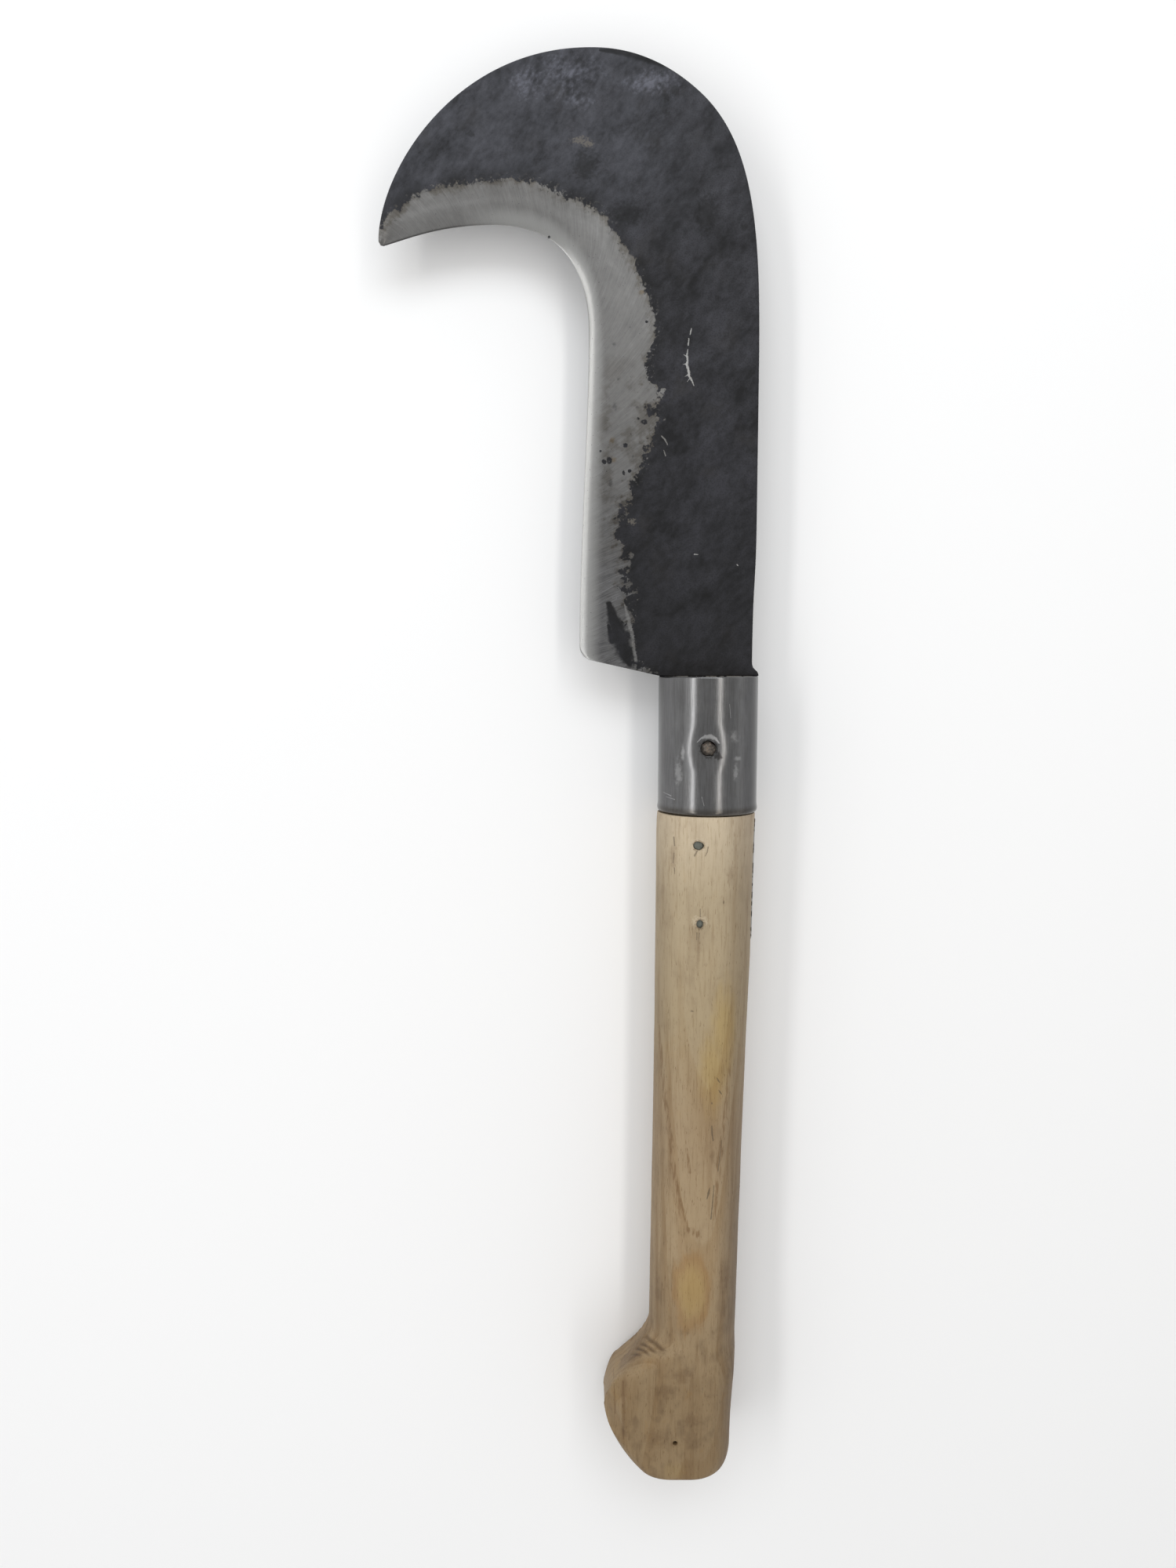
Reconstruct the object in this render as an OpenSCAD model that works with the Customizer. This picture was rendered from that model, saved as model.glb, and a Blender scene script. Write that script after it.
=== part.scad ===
// One-hand hooked billhook, lying flat on its side.
// X runs from the handle's axis to the back of the blade, Y along the handle to the
// blade, Z out of the blade's cheek. The origin is on the handle's axis, in the middle
// of the blade's thickness, where the blade's shoulder stands on the ferrule.
// All sizes are in millimetres and all angles in degrees.

/* [Blade outline] */
// Height of the crown above the ferrule
blade_l = 201; // [185:1:225]
// Distance from the handle's axis to the straight back of the blade
back_x = 15.5; // [15:0.1:16.4]
// Width of the blade at its heel
heel_w = 59.3; // [52:0.1:66]
// Narrowest width, between the throat and the back
throat_w = 56.2; // [50:0.1:60]
// Drop from the crown to the middle of the throat's side
throat_drop = 93.3; // [84:0.1:100]
// Width of the nose under the crown
nose_w = 54.1; // [48:0.1:60]
// Reach of the hooked nose from the back
nose_reach = 124.9; // [115:0.1:135]
// Drop from the crown to the middle of the rounded tip
tip_drop = 59.3; // [56:0.1:63]
// Radius of the tip
tip_r = 1.4; // [1:0.1:2]
// Radius of the heel's corner
heel_r = 5; // [3:0.1:6]
// Height of the lower edge of the blade where it leaves the ferrule
heel_rise = 0.1; // [0.05:0.05:1]

/* [Blade thickness] */
// Thickness at the shoulder
spine_t = 5; // [4:0.1:6]
// Thickness at the crown
nose_t = 3.8; // [3:0.1:4.4]
// Thickness near the tip
tip_t = 2.2; // [1.8:0.1:2.8]
// Thickness of the cutting edge
edge_t = 0.5; // [0.3:0.05:0.8]
// Width of the honed strip along the cutting edge
hone_w = 3; // [2:0.1:4]
// Thickness where the honed strip ends
hone_t = 1.9; // [1.5:0.05:2.2]
// Width of the ground bevel along the straight cutting edge
grind_w = 22; // [17:0.5:26]
// Width of the ground bevel under the nose
nose_grind_w = 14; // [10:0.5:18]
// Chamfer along the back
back_chamfer = 0.6; // [0.3:0.05:1]

/* [Tang] */
// Length of the tang below the blade's shoulder
tang_l = 95; // [88:1:110]
// Distance from the handle's axis to the tang's inner edge
tang_in = 11; // [9:0.1:12.5]
// How far the tang's cheeks lie under the blade's, on each side
tang_step = 0.2; // [0.1:0.05:0.5]
// How far the tang's edge stands out of the wood
tang_proud = 0.3; // [0.1:0.05:0.6]

/* [Ferrule] */
// Outer diameter of the tube
ferrule_d = 33.7; // [33.2:0.1:36]
// Wall of the tube
ferrule_wall = 1.6; // [1.4:0.1:2]
// Length of the tube
ferrule_l = 46.4; // [42:0.1:52]
// How far the lower rim is swelled past the tube
rim_swell = 0.25; // [0.15:0.05:0.4]
// Height of the dressed slope of the lower rim
rim_h = 1.8; // [1.2:0.1:2.4]

/* [Pins] */
// Diameter of the ferrule's pin
ferrule_pin_d = 5; // [4:0.1:5.6]
// Diameter of that pin's peened heads
ferrule_head_d = 7.6; // [7:0.1:8]
// Side offset of the ferrule's pin
ferrule_pin_x = -1.3; // [-2.5:0.1:1]
// Distance of the ferrule's pin below the shoulder
ferrule_pin_y = 23.5; // [18:0.5:28]
// Diameter of the handle's two pins
pin_d = 4; // [3:0.1:5]
// How far those pins' ends lie below the wood
pin_recess = 0.7; // [0.3:0.1:1.5]
// Side offset of the upper pin
upper_pin_x = -4.3; // [-5:0.1:-1]
// Distance of the upper pin below the shoulder
upper_pin_y = 55.9; // [54:0.1:60]
// Side offset of the lower pin
lower_pin_x = -3.5; // [-5:0.1:-1]
// Distance of the lower pin from the end of the tang
lower_pin_up = 12.6; // [8:0.1:16]

/* [Handle] */
// Distance from the shoulder to the butt
handle_l = 282.5; // [270:0.5:310]
// Side of the grip's belly from the axis, just above the knob
neck_belly = 19.1; // [17.8:0.1:20]
// Side of the grip's back from the axis, at the knob
neck_back = 11.9; // [10.5:0.1:13]
// Thickness of the grip at its middle
grip_t = 32.6; // [30:0.1:33.2]
// Side of the knob's belly from the axis
knob_belly = 35.25; // [31:0.05:38]
// Distance from the butt to the neck above the knob
knob_l = 48; // [46:0.5:52]
// Lean of the knob's shoulder towards the blade, for each millimetre of height
knob_lean = 0.24; // [0:0.01:0.3]
// Radius that breaks the knob's belly edge
knob_edge_r = 5; // [2.5:0.1:6]
// Radius that rounds the knob's back edge
knob_back_r = 11; // [8:0.1:13]
// Radius that breaks the butt
butt_r = 2; // [1:0.1:3]
// Diameter of the small hole in the knob's cheek
knob_hole_d = 2.2; // [1.6:0.1:3]
// Depth of that hole
knob_hole_depth = 8; // [5:0.5:12]

/* [Fits] */
// Clearance round each pin in its hole
pin_gap = 0.05; // [0.03:0.01:0.1]
// Clearance round the tang in its slot
slot_gap = 0.08; // [0.04:0.01:0.15]
// Clearance between the tenon and the ferrule
tenon_gap = 0.05; // [0.03:0.01:0.12]
// Distance of the tenon's end below the blade's shoulder
tenon_short = 0.4; // [0.2:0.1:1]

/* [Hidden] */
$fn = 64;

// Radii and planes that several pieces share
tube_r = ferrule_d / 2;
bore_r = tube_r - ferrule_wall;
rim_r = tube_r + rim_swell;
tenon_r = bore_r - tenon_gap;
tang_t = spine_t - 2 * tang_step;
lower_pin_y = tang_l - lower_pin_up;
// Side of the tang's outer edge inside the ferrule, where the tube's bore limits it
tang_bore_x = sqrt(bore_r * bore_r - tang_t * tang_t / 4) - 0.15;
// Height of the flat seat under each peened head
head_seat_z = bore_r + ferrule_wall / 2;
// Swell of the blade's back above the ferrule, and where it ends
waist = 0.9;
waist_top = 51;

// Shape constants: how full each curve is, as a share of its span
run_lower_full = 0.316;
run_upper_full = 0.206;
throat_side_full = 0.21;
throat_top_full = 1.077;
nose_under_full = 0.47;
tip_under_full = 0.26;
nose_top_full = 0.648;
nose_front_full = 0.34;
tip_slope = 16;
heel_slope = 12.7;

// Cubic curve from a to d, drawn towards b and c, as n points without the last one
function curve(a, b, c, d, n) = [for (i = [0:n - 1]) let (t = i / n, s = 1 - t)
    s * s * s * a + 3 * s * s * t * b + 3 * s * t * t * c + t * t * t * d];
// Arc of n points without the last one
function arc(m, r, from, to, n) = [for (i = [0:n - 1]) let (w = from + (to - from) * i / n)
    m + r * [cos(w), sin(w)]];
function mix(a, b, t) = a + (b - a) * t;
function clamp01(t) = min(1, max(0, t));
function smooth(t) = let (c = clamp01(t)) c * c * (3 - 2 * c);

// Key points of the blade's outline
heel_x = back_x - heel_w;
heel_turn = (180 + 270 - heel_slope) / 2;
heel_line_y = heel_rise + tan(heel_slope) * (-tube_r - heel_x);
heel_mid = [heel_x + heel_r, heel_line_y + heel_r / tan((90 + heel_slope) / 2)];
throat_side = [back_x - throat_w, blade_l - throat_drop];
throat_top = [back_x - nose_reach + 37.4, blade_l - nose_w];
tip_mid = [back_x - nose_reach + tip_r, blade_l - tip_drop];
tip_turn = (180 + 270 + tip_slope) / 2;
tip_under = tip_mid + tip_r * [sin(tip_slope), -cos(tip_slope)];
crown = [back_x - 55.8, blade_l];
shoulder = [back_x - 20.2, blade_l - 13.65];
shoulder_dir = [-cos(41.25), sin(41.25)];

// The cutting edge, from the middle of the heel's corner to the tip
edge_path = let (run = throat_side.y - heel_mid.y,
        side = throat_side - throat_top,
        under = throat_top.x - tip_under.x)
    concat(
        arc(heel_mid, heel_r, heel_turn, 180, 3),
        curve([heel_x, heel_mid.y], [heel_x, heel_mid.y + run_lower_full * run],
            throat_side - [0, run_upper_full * run], throat_side, 23),
        curve(throat_side, throat_side - [0, throat_side_full * side.y],
            throat_top + [throat_top_full * side.x, 0], throat_top, 20),
        curve(throat_top, throat_top - [nose_under_full * under, 0],
            tip_under + tip_under_full * under * [cos(tip_slope), sin(tip_slope)], tip_under, 18),
        arc(tip_mid, tip_r, 270 + tip_slope, tip_turn, 3));

// The back, from the ferrule's rim over the crown to the tip
back_path = let (w = back_x - waist,
        span = crown - tip_mid + [tip_r, 0],
        straight_top = blade_l - 102)
    concat(
        curve([tube_r, 0], [tube_r, 2.4], [w, 1.6], [w, 5], 4),
        curve([w, 5], [w, 34], [back_x, 29], [back_x, waist_top], 8),
        curve([back_x, waist_top], [back_x, waist_top + 10], [back_x, straight_top - 10],
            [back_x, straight_top], 8),
        curve([back_x, straight_top], [back_x, straight_top + 42.7],
            shoulder - 24.9 * shoulder_dir, shoulder, 16),
        curve(shoulder, shoulder + 20.6 * shoulder_dir, crown + [5.3, 0], crown, 7),
        curve(crown, crown - [nose_top_full * span.x, 0],
            tip_mid + [-tip_r, nose_front_full * span.y], tip_mid - [tip_r, 0], 21),
        arc(tip_mid, tip_r, 180, tip_turn, 3));

// The lower end of the blade: the heel's corner, the sloping edge and the seat on the ferrule
function lower_y(x) = x < heel_mid.x - heel_r * sin(heel_slope)
    ? heel_mid.y - sqrt(max(0, heel_r * heel_r - pow(x - heel_mid.x, 2)))
    : x < -tube_r ? heel_rise + tan(heel_slope) * (-tube_r - x) : 0;

// Ribs run across the blade from the cutting edge to the back
ribs = len(edge_path);
function rib_share(i) = i / (ribs - 1);
function rib_len(i) = norm(back_path[i] - edge_path[i]);
function rib_hone(i) = min(hone_w, 0.25 * rib_len(i));
function rib_grind(i) = min(mix(grind_w, nose_grind_w, smooth((rib_share(i) - 0.4) / 0.25)),
    0.62 * rib_len(i));
function rib_chamfer(i) = min(back_chamfer, 0.1 * rib_len(i));
function body_t(i) = lookup(rib_share(i), [[0, spine_t], [0.7, nose_t], [1, tip_t]]);

// Stations along a rib, each a share of its length and the thickness there
function stations(i) = let (len = rib_len(i), g = rib_grind(i) / len, t = body_t(i),
        c = rib_chamfer(i) / len, cheek = 4)
    concat(
        [[0, edge_t], [rib_hone(i) / len, min(hone_t, 0.6 * t)]],
        [for (k = [0:cheek - 1]) [mix(g, 1 - c, k / cheek), t]],
        [[1 - c, t], [1, t - 2 * rib_chamfer(i)]]);

// Place of a station: on the rib, drawn down to the blade's lower end on the first ribs
function place(i, v) = let (e = edge_path[i], b = back_path[i], low = edge_path[0],
        base = back_path[0], x = mix(low.x, base.x, v),
        drop = v == 0 || v == 1 ? 0 : lower_y(x) - mix(low.y, base.y, v))
    mix(e, b, v) + [0, drop * clamp01(1 - 3 * rib_share(i))];

module blade_body() {
    rows = [for (i = [0:ribs - 1]) stations(i)];
    m = len(rows[0]);
    points = [for (i = [0:ribs - 1]) each concat(
        [for (k = [0:m - 1]) let (p = place(i, rows[i][k][0])) [p.x, p.y, rows[i][k][1] / 2]],
        [for (k = [m - 1:-1:0]) let (p = place(i, rows[i][k][0])) [p.x, p.y, -rows[i][k][1] / 2]])];
    ring = 2 * m;
    skin = [for (i = [0:ribs - 2]) for (k = [0:ring - 1]) let (a = i * ring + k,
            b = i * ring + (k + 1) % ring, c = b + ring, d = a + ring)
        each [[a, c, b], [a, d, c]]];
    function end_faces(i, flip) = [for (k = [0:m - 2]) let (a = i * ring + k, b = a + 1,
            c = i * ring + ring - 2 - k, d = c + 1)
        each (flip ? [[a, c, b], [a, d, c]] : [[a, b, c], [a, c, d]])];
    polyhedron(points = points, faces = concat(skin, end_faces(0, false), end_faces(ribs - 1, true)),
        convexity = 8);
}

// Curves of the handle's belly and back, as pairs of height and side
knob_top_y = knob_l - handle_l;
function swap(path) = [for (p = path) [p.y, p.x]];
belly_curve = let (k = -knob_belly, y = knob_top_y, b = -neck_belly,
        turn = [k + 4.85, y - 13.6], turn_dir = [-cos(42), -sin(42)],
        low = [k + 12.65, -handle_l + 2.7], low_dir = [sin(46), -cos(46)],
        side = [k, -handle_l + 22.8])
    swap(concat(
        curve([-tube_r - 0.2, -ferrule_l], [-tube_r - 0.4, -ferrule_l - 3],
            [-tube_r - 0.6, -ferrule_l - 6], [-tube_r - 0.6, -ferrule_l - 10], 3),
        curve([-tube_r - 0.6, -ferrule_l - 10], [-tube_r - 0.6, -ferrule_l - 60],
            [b + 1, y + 60], [b, y], 20),
        curve([b, y], [b - 0.3, y - 1], turn - 7 * turn_dir, turn, 14),
        curve(turn, turn + 4.6 * turn_dir, side + [0, 1], side, 8),
        curve(side, side - [0, 6], low - 8.3 * low_dir, low, 14),
        curve(low, low + 2.5 * low_dir, [-15, -handle_l], [-13, -handle_l], 6),
        [[-13, -handle_l]]));
back_curve = let (n = neck_back, turn = [n - 2.05, -handle_l + 8.5])
    swap(concat(
        curve([tube_r - 0.45, -ferrule_l], [tube_r - 0.9, -ferrule_l - 12],
            [tube_r - 1.15, -ferrule_l - 32], [tube_r - 1.3, -ferrule_l - 50], 8),
        curve([tube_r - 1.3, -ferrule_l - 50], [tube_r - 3.2, -ferrule_l - 100],
            [n + 0.5, knob_top_y + 18], [n, knob_top_y - 5], 16),
        curve([n, knob_top_y - 5], [n - 1, knob_top_y - 15], turn + [0.2, 12], turn, 8),
        curve(turn, turn - [0.45, 6], [7.5, -handle_l], [4, -handle_l], 12),
        [[4, -handle_l]]));
function belly_x(y) = lookup(y, belly_curve);
function wood_back_x(y) = lookup(y, back_curve);

// Half thickness of the handle: round at the ferrule, slimmer at the grip, flat at the knob
function half_t(y) = let (top = tube_r - 0.1, grip = grip_t / 2,
        d = handle_l + y, flat = mix(grip, rim_r, smooth((knob_top_y + 4 - y) / 20)),
        t = mix(top, flat, smooth((-ferrule_l - y) / 60)))
    t - butt_r + sqrt(max(0, butt_r * butt_r - pow(max(0, butt_r - d), 2)));
// How far the section has turned from the round grip to the flat knob, 0 to 1
function knob_share(y) = smooth((knob_top_y + 2 - y) / 16);
// Lean of the section at height y: the knob's shoulder leans, the neck and the butt do not
function lean(y) = knob_lean * smooth((knob_top_y + 3 - y) / 10) * smooth((y + handle_l - 4) / 22);

// Section of the handle at height y: four elliptical corners joined by short flats
corner_steps = 9;
function corner_radii(y) = let (w = wood_back_x(y) - belly_x(y), k = knob_share(y),
        full = [w / 2 - 0.2, half_t(y) - 0.2])
    [mix(full, [min(knob_edge_r, full.x), knob_edge_r], k),
     mix(full, [min(knob_back_r, full.x), knob_back_r], k)];
function section(y) = let (xl = belly_x(y), xr = wood_back_x(y), t = half_t(y), r = corner_radii(y))
    concat(
        [for (i = [0:corner_steps]) let (a = 90 * i / corner_steps)
            [xr - r[1].x + r[1].x * cos(a), t - r[1].y + r[1].y * sin(a)]],
        [for (i = [0:corner_steps]) let (a = 90 + 90 * i / corner_steps)
            [xl + r[0].x + r[0].x * cos(a), t - r[0].y + r[0].y * sin(a)]],
        [for (i = [0:corner_steps]) let (a = 180 + 90 * i / corner_steps)
            [xl + r[0].x + r[0].x * cos(a), -t + r[0].y + r[0].y * sin(a)]],
        [for (i = [0:corner_steps]) let (a = 270 + 90 * i / corner_steps)
            [xr - r[1].x + r[1].x * cos(a), -t + r[1].y + r[1].y * sin(a)]]);
// Height of the wood's surface over the point x, y of the round grip
function wood_z(x, y) = let (xl = belly_x(y), xr = wood_back_x(y), r = corner_radii(y)[0],
        u = clamp01(abs(x - (xl + xr) / 2) / r.x))
    half_t(y) - r.y + r.y * sqrt(1 - u * u);

// Heights of the handle's sections, closer together where its outline turns
section_ys = concat(
    [for (i = [0:2]) -ferrule_l - 2.5 * i],
    [for (i = [1:17]) mix(-ferrule_l - 5, knob_top_y + 2, i / 17)],
    [for (i = [1:22]) mix(knob_top_y + 2, 18 - handle_l, i / 22)],
    [for (i = [1:9]) -handle_l + 18 * (1 - sin(10 * i))]);

module handle_body() {
    n = 4 * (corner_steps + 1);
    rows = len(section_ys);
    points = [for (y = section_ys) each [for (p = section(y))
        [p.x, y + lean(y) * clamp01((4 - p.x) / 12) * p.y, p.y]]];
    skin = [for (i = [0:rows - 2]) for (k = [0:n - 1]) let (a = i * n + k,
            b = i * n + (k + 1) % n, c = b + n, d = a + n)
        each [[a, c, b], [a, d, c]]];
    polyhedron(points = points, faces = concat(skin,
        [[for (k = [0:n - 1]) k]], [[for (k = [n - 1:-1:0]) (rows - 1) * n + k]]), convexity = 6);
}

// The tang's outline. A gap widens it into the slot, which is open to the handle's back.
module tang_outline(gap = 0, open = 0) {
    step_y = -ferrule_l - 0.6;
    back_ys = [for (i = [0:4]) mix(step_y - 1.8, -tang_l + 5, i / 4)];
    edge = open > 0
        ? [[open, 0], [open, -tang_l - gap]]
        : concat([[tang_bore_x, 4], [tang_bore_x, step_y]],
            [for (y = back_ys) [wood_back_x(y) + tang_proud, y]],
            [[wood_back_x(-tang_l) - 3, -tang_l]]);
    inner = -tang_in - gap;
    polygon(concat(edge, [[inner + 6, -tang_l - gap], [inner + 1.5, -tang_l + 6],
        [inner, -ferrule_l], [inner, open > 0 ? 0 : 4]]));
}

// A hole or a shank across the whole handle
module cross_bar(x, y, d) translate([x, -y, 0]) cylinder(d = d, h = 4 * rim_r, center = true);
module tang_holes() {
    cross_bar(ferrule_pin_x, ferrule_pin_y, ferrule_pin_d + 2 * pin_gap);
    cross_bar(upper_pin_x, upper_pin_y, pin_d + 2 * pin_gap);
    cross_bar(lower_pin_x, lower_pin_y, pin_d + 2 * pin_gap);
}

module blade() color([0.17, 0.17, 0.19]) difference() {
    union() {
        blade_body();
        linear_extrude(height = tang_t, center = true) tang_outline();
    }
    tang_holes();
}

module ferrule() color([0.42, 0.42, 0.42]) difference() {
    rotate([-90, 0, 0]) rotate_extrude() polygon([
        [bore_r, -ferrule_l], [rim_r - 0.8, -ferrule_l], [rim_r, rim_h - ferrule_l],
        [tube_r, rim_h + 1.5 - ferrule_l], [tube_r, -0.4], [tube_r - 0.3, 0], [bore_r, 0]]);
    cross_bar(ferrule_pin_x, ferrule_pin_y, ferrule_pin_d + 2 * pin_gap);
    for (side = [-1, 1]) translate([ferrule_pin_x, -ferrule_pin_y, side * (head_seat_z + 5)])
        cylinder(d = ferrule_head_d + 2 * pin_gap, h = 10, center = true);
}

module ferrule_pin() color([0.35, 0.28, 0.22]) {
    head_r = ferrule_head_d / 2;
    top = tube_r;
    half = [[ferrule_pin_d / 2, head_seat_z], [head_r, head_seat_z],
        [head_r - 0.1, mix(head_seat_z, top, 0.5)], [head_r * 0.5, top - 0.1], [0, top]];
    translate([ferrule_pin_x, -ferrule_pin_y, 0]) rotate_extrude() polygon(concat(
        half, [for (i = [len(half) - 1:-1:0]) [half[i].x, -half[i].y]]));
}

module handle_pin(x, y) color([0.45, 0.45, 0.43]) {
    top = wood_z(x, -y) - pin_recess;
    translate([x, -y, 0]) cylinder(d = pin_d, h = 2 * top, center = true);
}
module upper_handle_pin() handle_pin(upper_pin_x, upper_pin_y);
module lower_handle_pin() handle_pin(lower_pin_x, lower_pin_y);

module handle() color([0.68, 0.58, 0.43]) difference() {
    union() {
        handle_body();
        translate([0, -tenon_short, 0]) rotate([90, 0, 0])
            cylinder(r = tenon_r, h = ferrule_l - tenon_short + 3);
    }
    linear_extrude(height = tang_t + 2 * slot_gap, center = true)
        tang_outline(gap = slot_gap, open = 2 * tube_r);
    tang_holes();
    translate([-10.4, 14.8 - handle_l, rim_r - knob_hole_depth])
        cylinder(d = knob_hole_d, h = 2 * knob_hole_depth);
}

blade();
ferrule();
ferrule_pin();
upper_handle_pin();
lower_handle_pin();
handle();
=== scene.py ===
# A one-hand hooked billhook lying on its side: forged blade with a ground edge,
# steel tube ferrule, three cross pins and a wooden handle with a hooked knob.
# Lengths are worked out in millimetres and laid into the meshes in metres.
# X runs to the back of the blade, Y to its crown, Z out of its upper cheek.
import math

import bpy
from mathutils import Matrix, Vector, noise


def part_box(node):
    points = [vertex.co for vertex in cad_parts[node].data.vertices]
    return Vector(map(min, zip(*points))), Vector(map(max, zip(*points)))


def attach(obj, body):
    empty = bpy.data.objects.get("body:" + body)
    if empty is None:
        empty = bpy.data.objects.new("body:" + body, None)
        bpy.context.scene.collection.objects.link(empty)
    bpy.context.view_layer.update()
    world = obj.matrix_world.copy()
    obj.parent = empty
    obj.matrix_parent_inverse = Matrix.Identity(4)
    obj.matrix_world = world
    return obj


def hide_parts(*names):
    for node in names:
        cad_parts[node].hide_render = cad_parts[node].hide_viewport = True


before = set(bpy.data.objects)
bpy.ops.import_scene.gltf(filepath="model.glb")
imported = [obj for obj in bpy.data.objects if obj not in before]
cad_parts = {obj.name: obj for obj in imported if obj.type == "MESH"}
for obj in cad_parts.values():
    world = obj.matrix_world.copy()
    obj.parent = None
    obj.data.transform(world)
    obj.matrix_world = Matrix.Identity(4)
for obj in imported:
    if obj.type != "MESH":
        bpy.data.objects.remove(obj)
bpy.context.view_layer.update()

MM = 0.001


def box_mm(node):
    """Lowest and highest corner of a construction node, in millimetres."""
    low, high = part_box(node)
    return low / MM, high / MM


# Sizes that the frame gives
blade_low, blade_high = box_mm("blade")
ferrule_low, ferrule_high = box_mm("ferrule")
head_low, head_high = box_mm("ferrule_pin")
upper_low, upper_high = box_mm("upper_handle_pin")
lower_low, lower_high = box_mm("lower_handle_pin")
handle_low = box_mm("handle")[0]

CROWN_Y = blade_high.y
TANG_END_Y = blade_low.y
SPINE_T = blade_high.z - blade_low.z
RIM_Y = ferrule_low.y
RIM_R = ferrule_high.z
TUBE_R = blade_high.x
BUTT_Y = handle_low.y
KNOB_BELLY = -handle_low.x
HEAD_PIN = (head_low + head_high) / 2
UPPER_PIN = (upper_low + upper_high) / 2
LOWER_PIN = (lower_low + lower_high) / 2
FLOOR_Z = min(ferrule_low.z, handle_low.z)

# Shape of the blade, as the construction has it
BACK_X = 15.5
HEEL_W = 59.3
THROAT_W = 56.2
THROAT_DROP = 93.3
NOSE_W = 54.1
TIP_DROP = 59.3
TIP_R = 1.4
HEEL_R = 5.0
HEEL_RISE = 0.1
WAIST = 0.9
WAIST_TOP = 51.0
TIP_SLOPE = 16.0
HEEL_SLOPE = 12.7
NOSE_T = 3.8
TIP_T = 2.2
EDGE_T = 0.5
HONE_W = 3.0
HONE_SLOPE = 0.3
HONE_EASE = 2.4
GRIND_W = 22.0
NOSE_GRIND_W = 14.0
BACK_ROUND = 0.8

# Shape of the tang, the handle and the holes for the pins
TANG_T = 4.6
TANG_IN = 11.0
TANG_PROUD = 0.1
WALL = 1.6
BORE_R = TUBE_R - WALL
TENON_R = BORE_R - 0.05
NECK_BELLY = 19.1
NECK_BACK = 11.9
GRIP_T = 32.6
KNOB_L = 48.0
KNOB_LEAN = 0.24
KNOB_EDGE_R = 5.0
KNOB_BACK_R = 11.0
BUTT_R = 2.0
KNOB_TOP_Y = BUTT_Y + KNOB_L
NAIL_HOLE = (-10.4, BUTT_Y + 14.8)
SLOT_GAP = 0.08
HEAD_HOLE_R = 2.55
WIRE_HOLE_R = 2.05

# The dent in the tube round each end of its pin, and the height where the pin's head begins
DENT_R = 9.0
DENT_DEPTH = 0.55
HEAD_SEAT = 15.7


# Small sums that the shapes share
def mix(a, b, t):
    return a + (b - a) * t


def clamp01(t):
    return min(1.0, max(0.0, t))


def smooth(t):
    t = clamp01(t)
    return t * t * (3 - 2 * t)


def evenly(a, b, n):
    """n even steps from a to b, without a itself."""
    return [mix(a, b, i / n) for i in range(1, n + 1)]


def lookup(t, table):
    """Straight lines between the pairs of a table whose first numbers rise."""
    if t <= table[0][0]:
        return table[0][1]
    for (t0, v0), (t1, v1) in zip(table, table[1:]):
        if t <= t1:
            return mix(v0, v1, (t - t0) / (t1 - t0))
    return table[-1][1]


def rough(x, y, z, size, seed=0.0):
    """Even noise from -1 to 1 with lumps of about that size."""
    return noise.noise(Vector((x / size + seed, y / size - seed, z / size + 2 * seed)))


def curve(a, b, c, d, n):
    """n points of the cubic curve from a to d, without the last one."""
    points = []
    for i in range(n):
        t = i / n
        s = 1 - t
        w = (s ** 3, 3 * s * s * t, 3 * s * t * t, t ** 3)
        points.append(tuple(w[0] * a[k] + w[1] * b[k] + w[2] * c[k] + w[3] * d[k] for k in (0, 1)))
    return points


def arc(middle, r, start, end, n):
    """n points of an arc, angles in degrees, without the last one."""
    angles = [math.radians(mix(start, end, i / n)) for i in range(n)]
    return [(middle[0] + r * math.cos(w), middle[1] + r * math.sin(w)) for w in angles]


def along(point, degrees, length):
    """The point that lies this far off in this direction."""
    w = math.radians(degrees)
    return (point[0] + length * math.cos(w), point[1] + length * math.sin(w))


# Outline of the blade
HEEL_X = BACK_X - HEEL_W
HEEL_TURN = (180 + 270 - HEEL_SLOPE) / 2
HEEL_LINE_Y = HEEL_RISE + math.tan(math.radians(HEEL_SLOPE)) * (-TUBE_R - HEEL_X)
HEEL_MID = (HEEL_X + HEEL_R, HEEL_LINE_Y + HEEL_R / math.tan(math.radians((90 + HEEL_SLOPE) / 2)))
THROAT_SIDE = (BACK_X - THROAT_W, CROWN_Y - THROAT_DROP)
THROAT_TOP = (blade_low.x + 37.4, CROWN_Y - NOSE_W)
TIP_MID = (blade_low.x + TIP_R, CROWN_Y - TIP_DROP)
TIP_TURN = (180 + 270 + TIP_SLOPE) / 2
CROWN = (BACK_X - 55.8, CROWN_Y)
SHOULDER = (BACK_X - 20.2, CROWN_Y - 13.65)
SHOULDER_ANGLE = 180 - 41.25
FINER = 6


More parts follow.
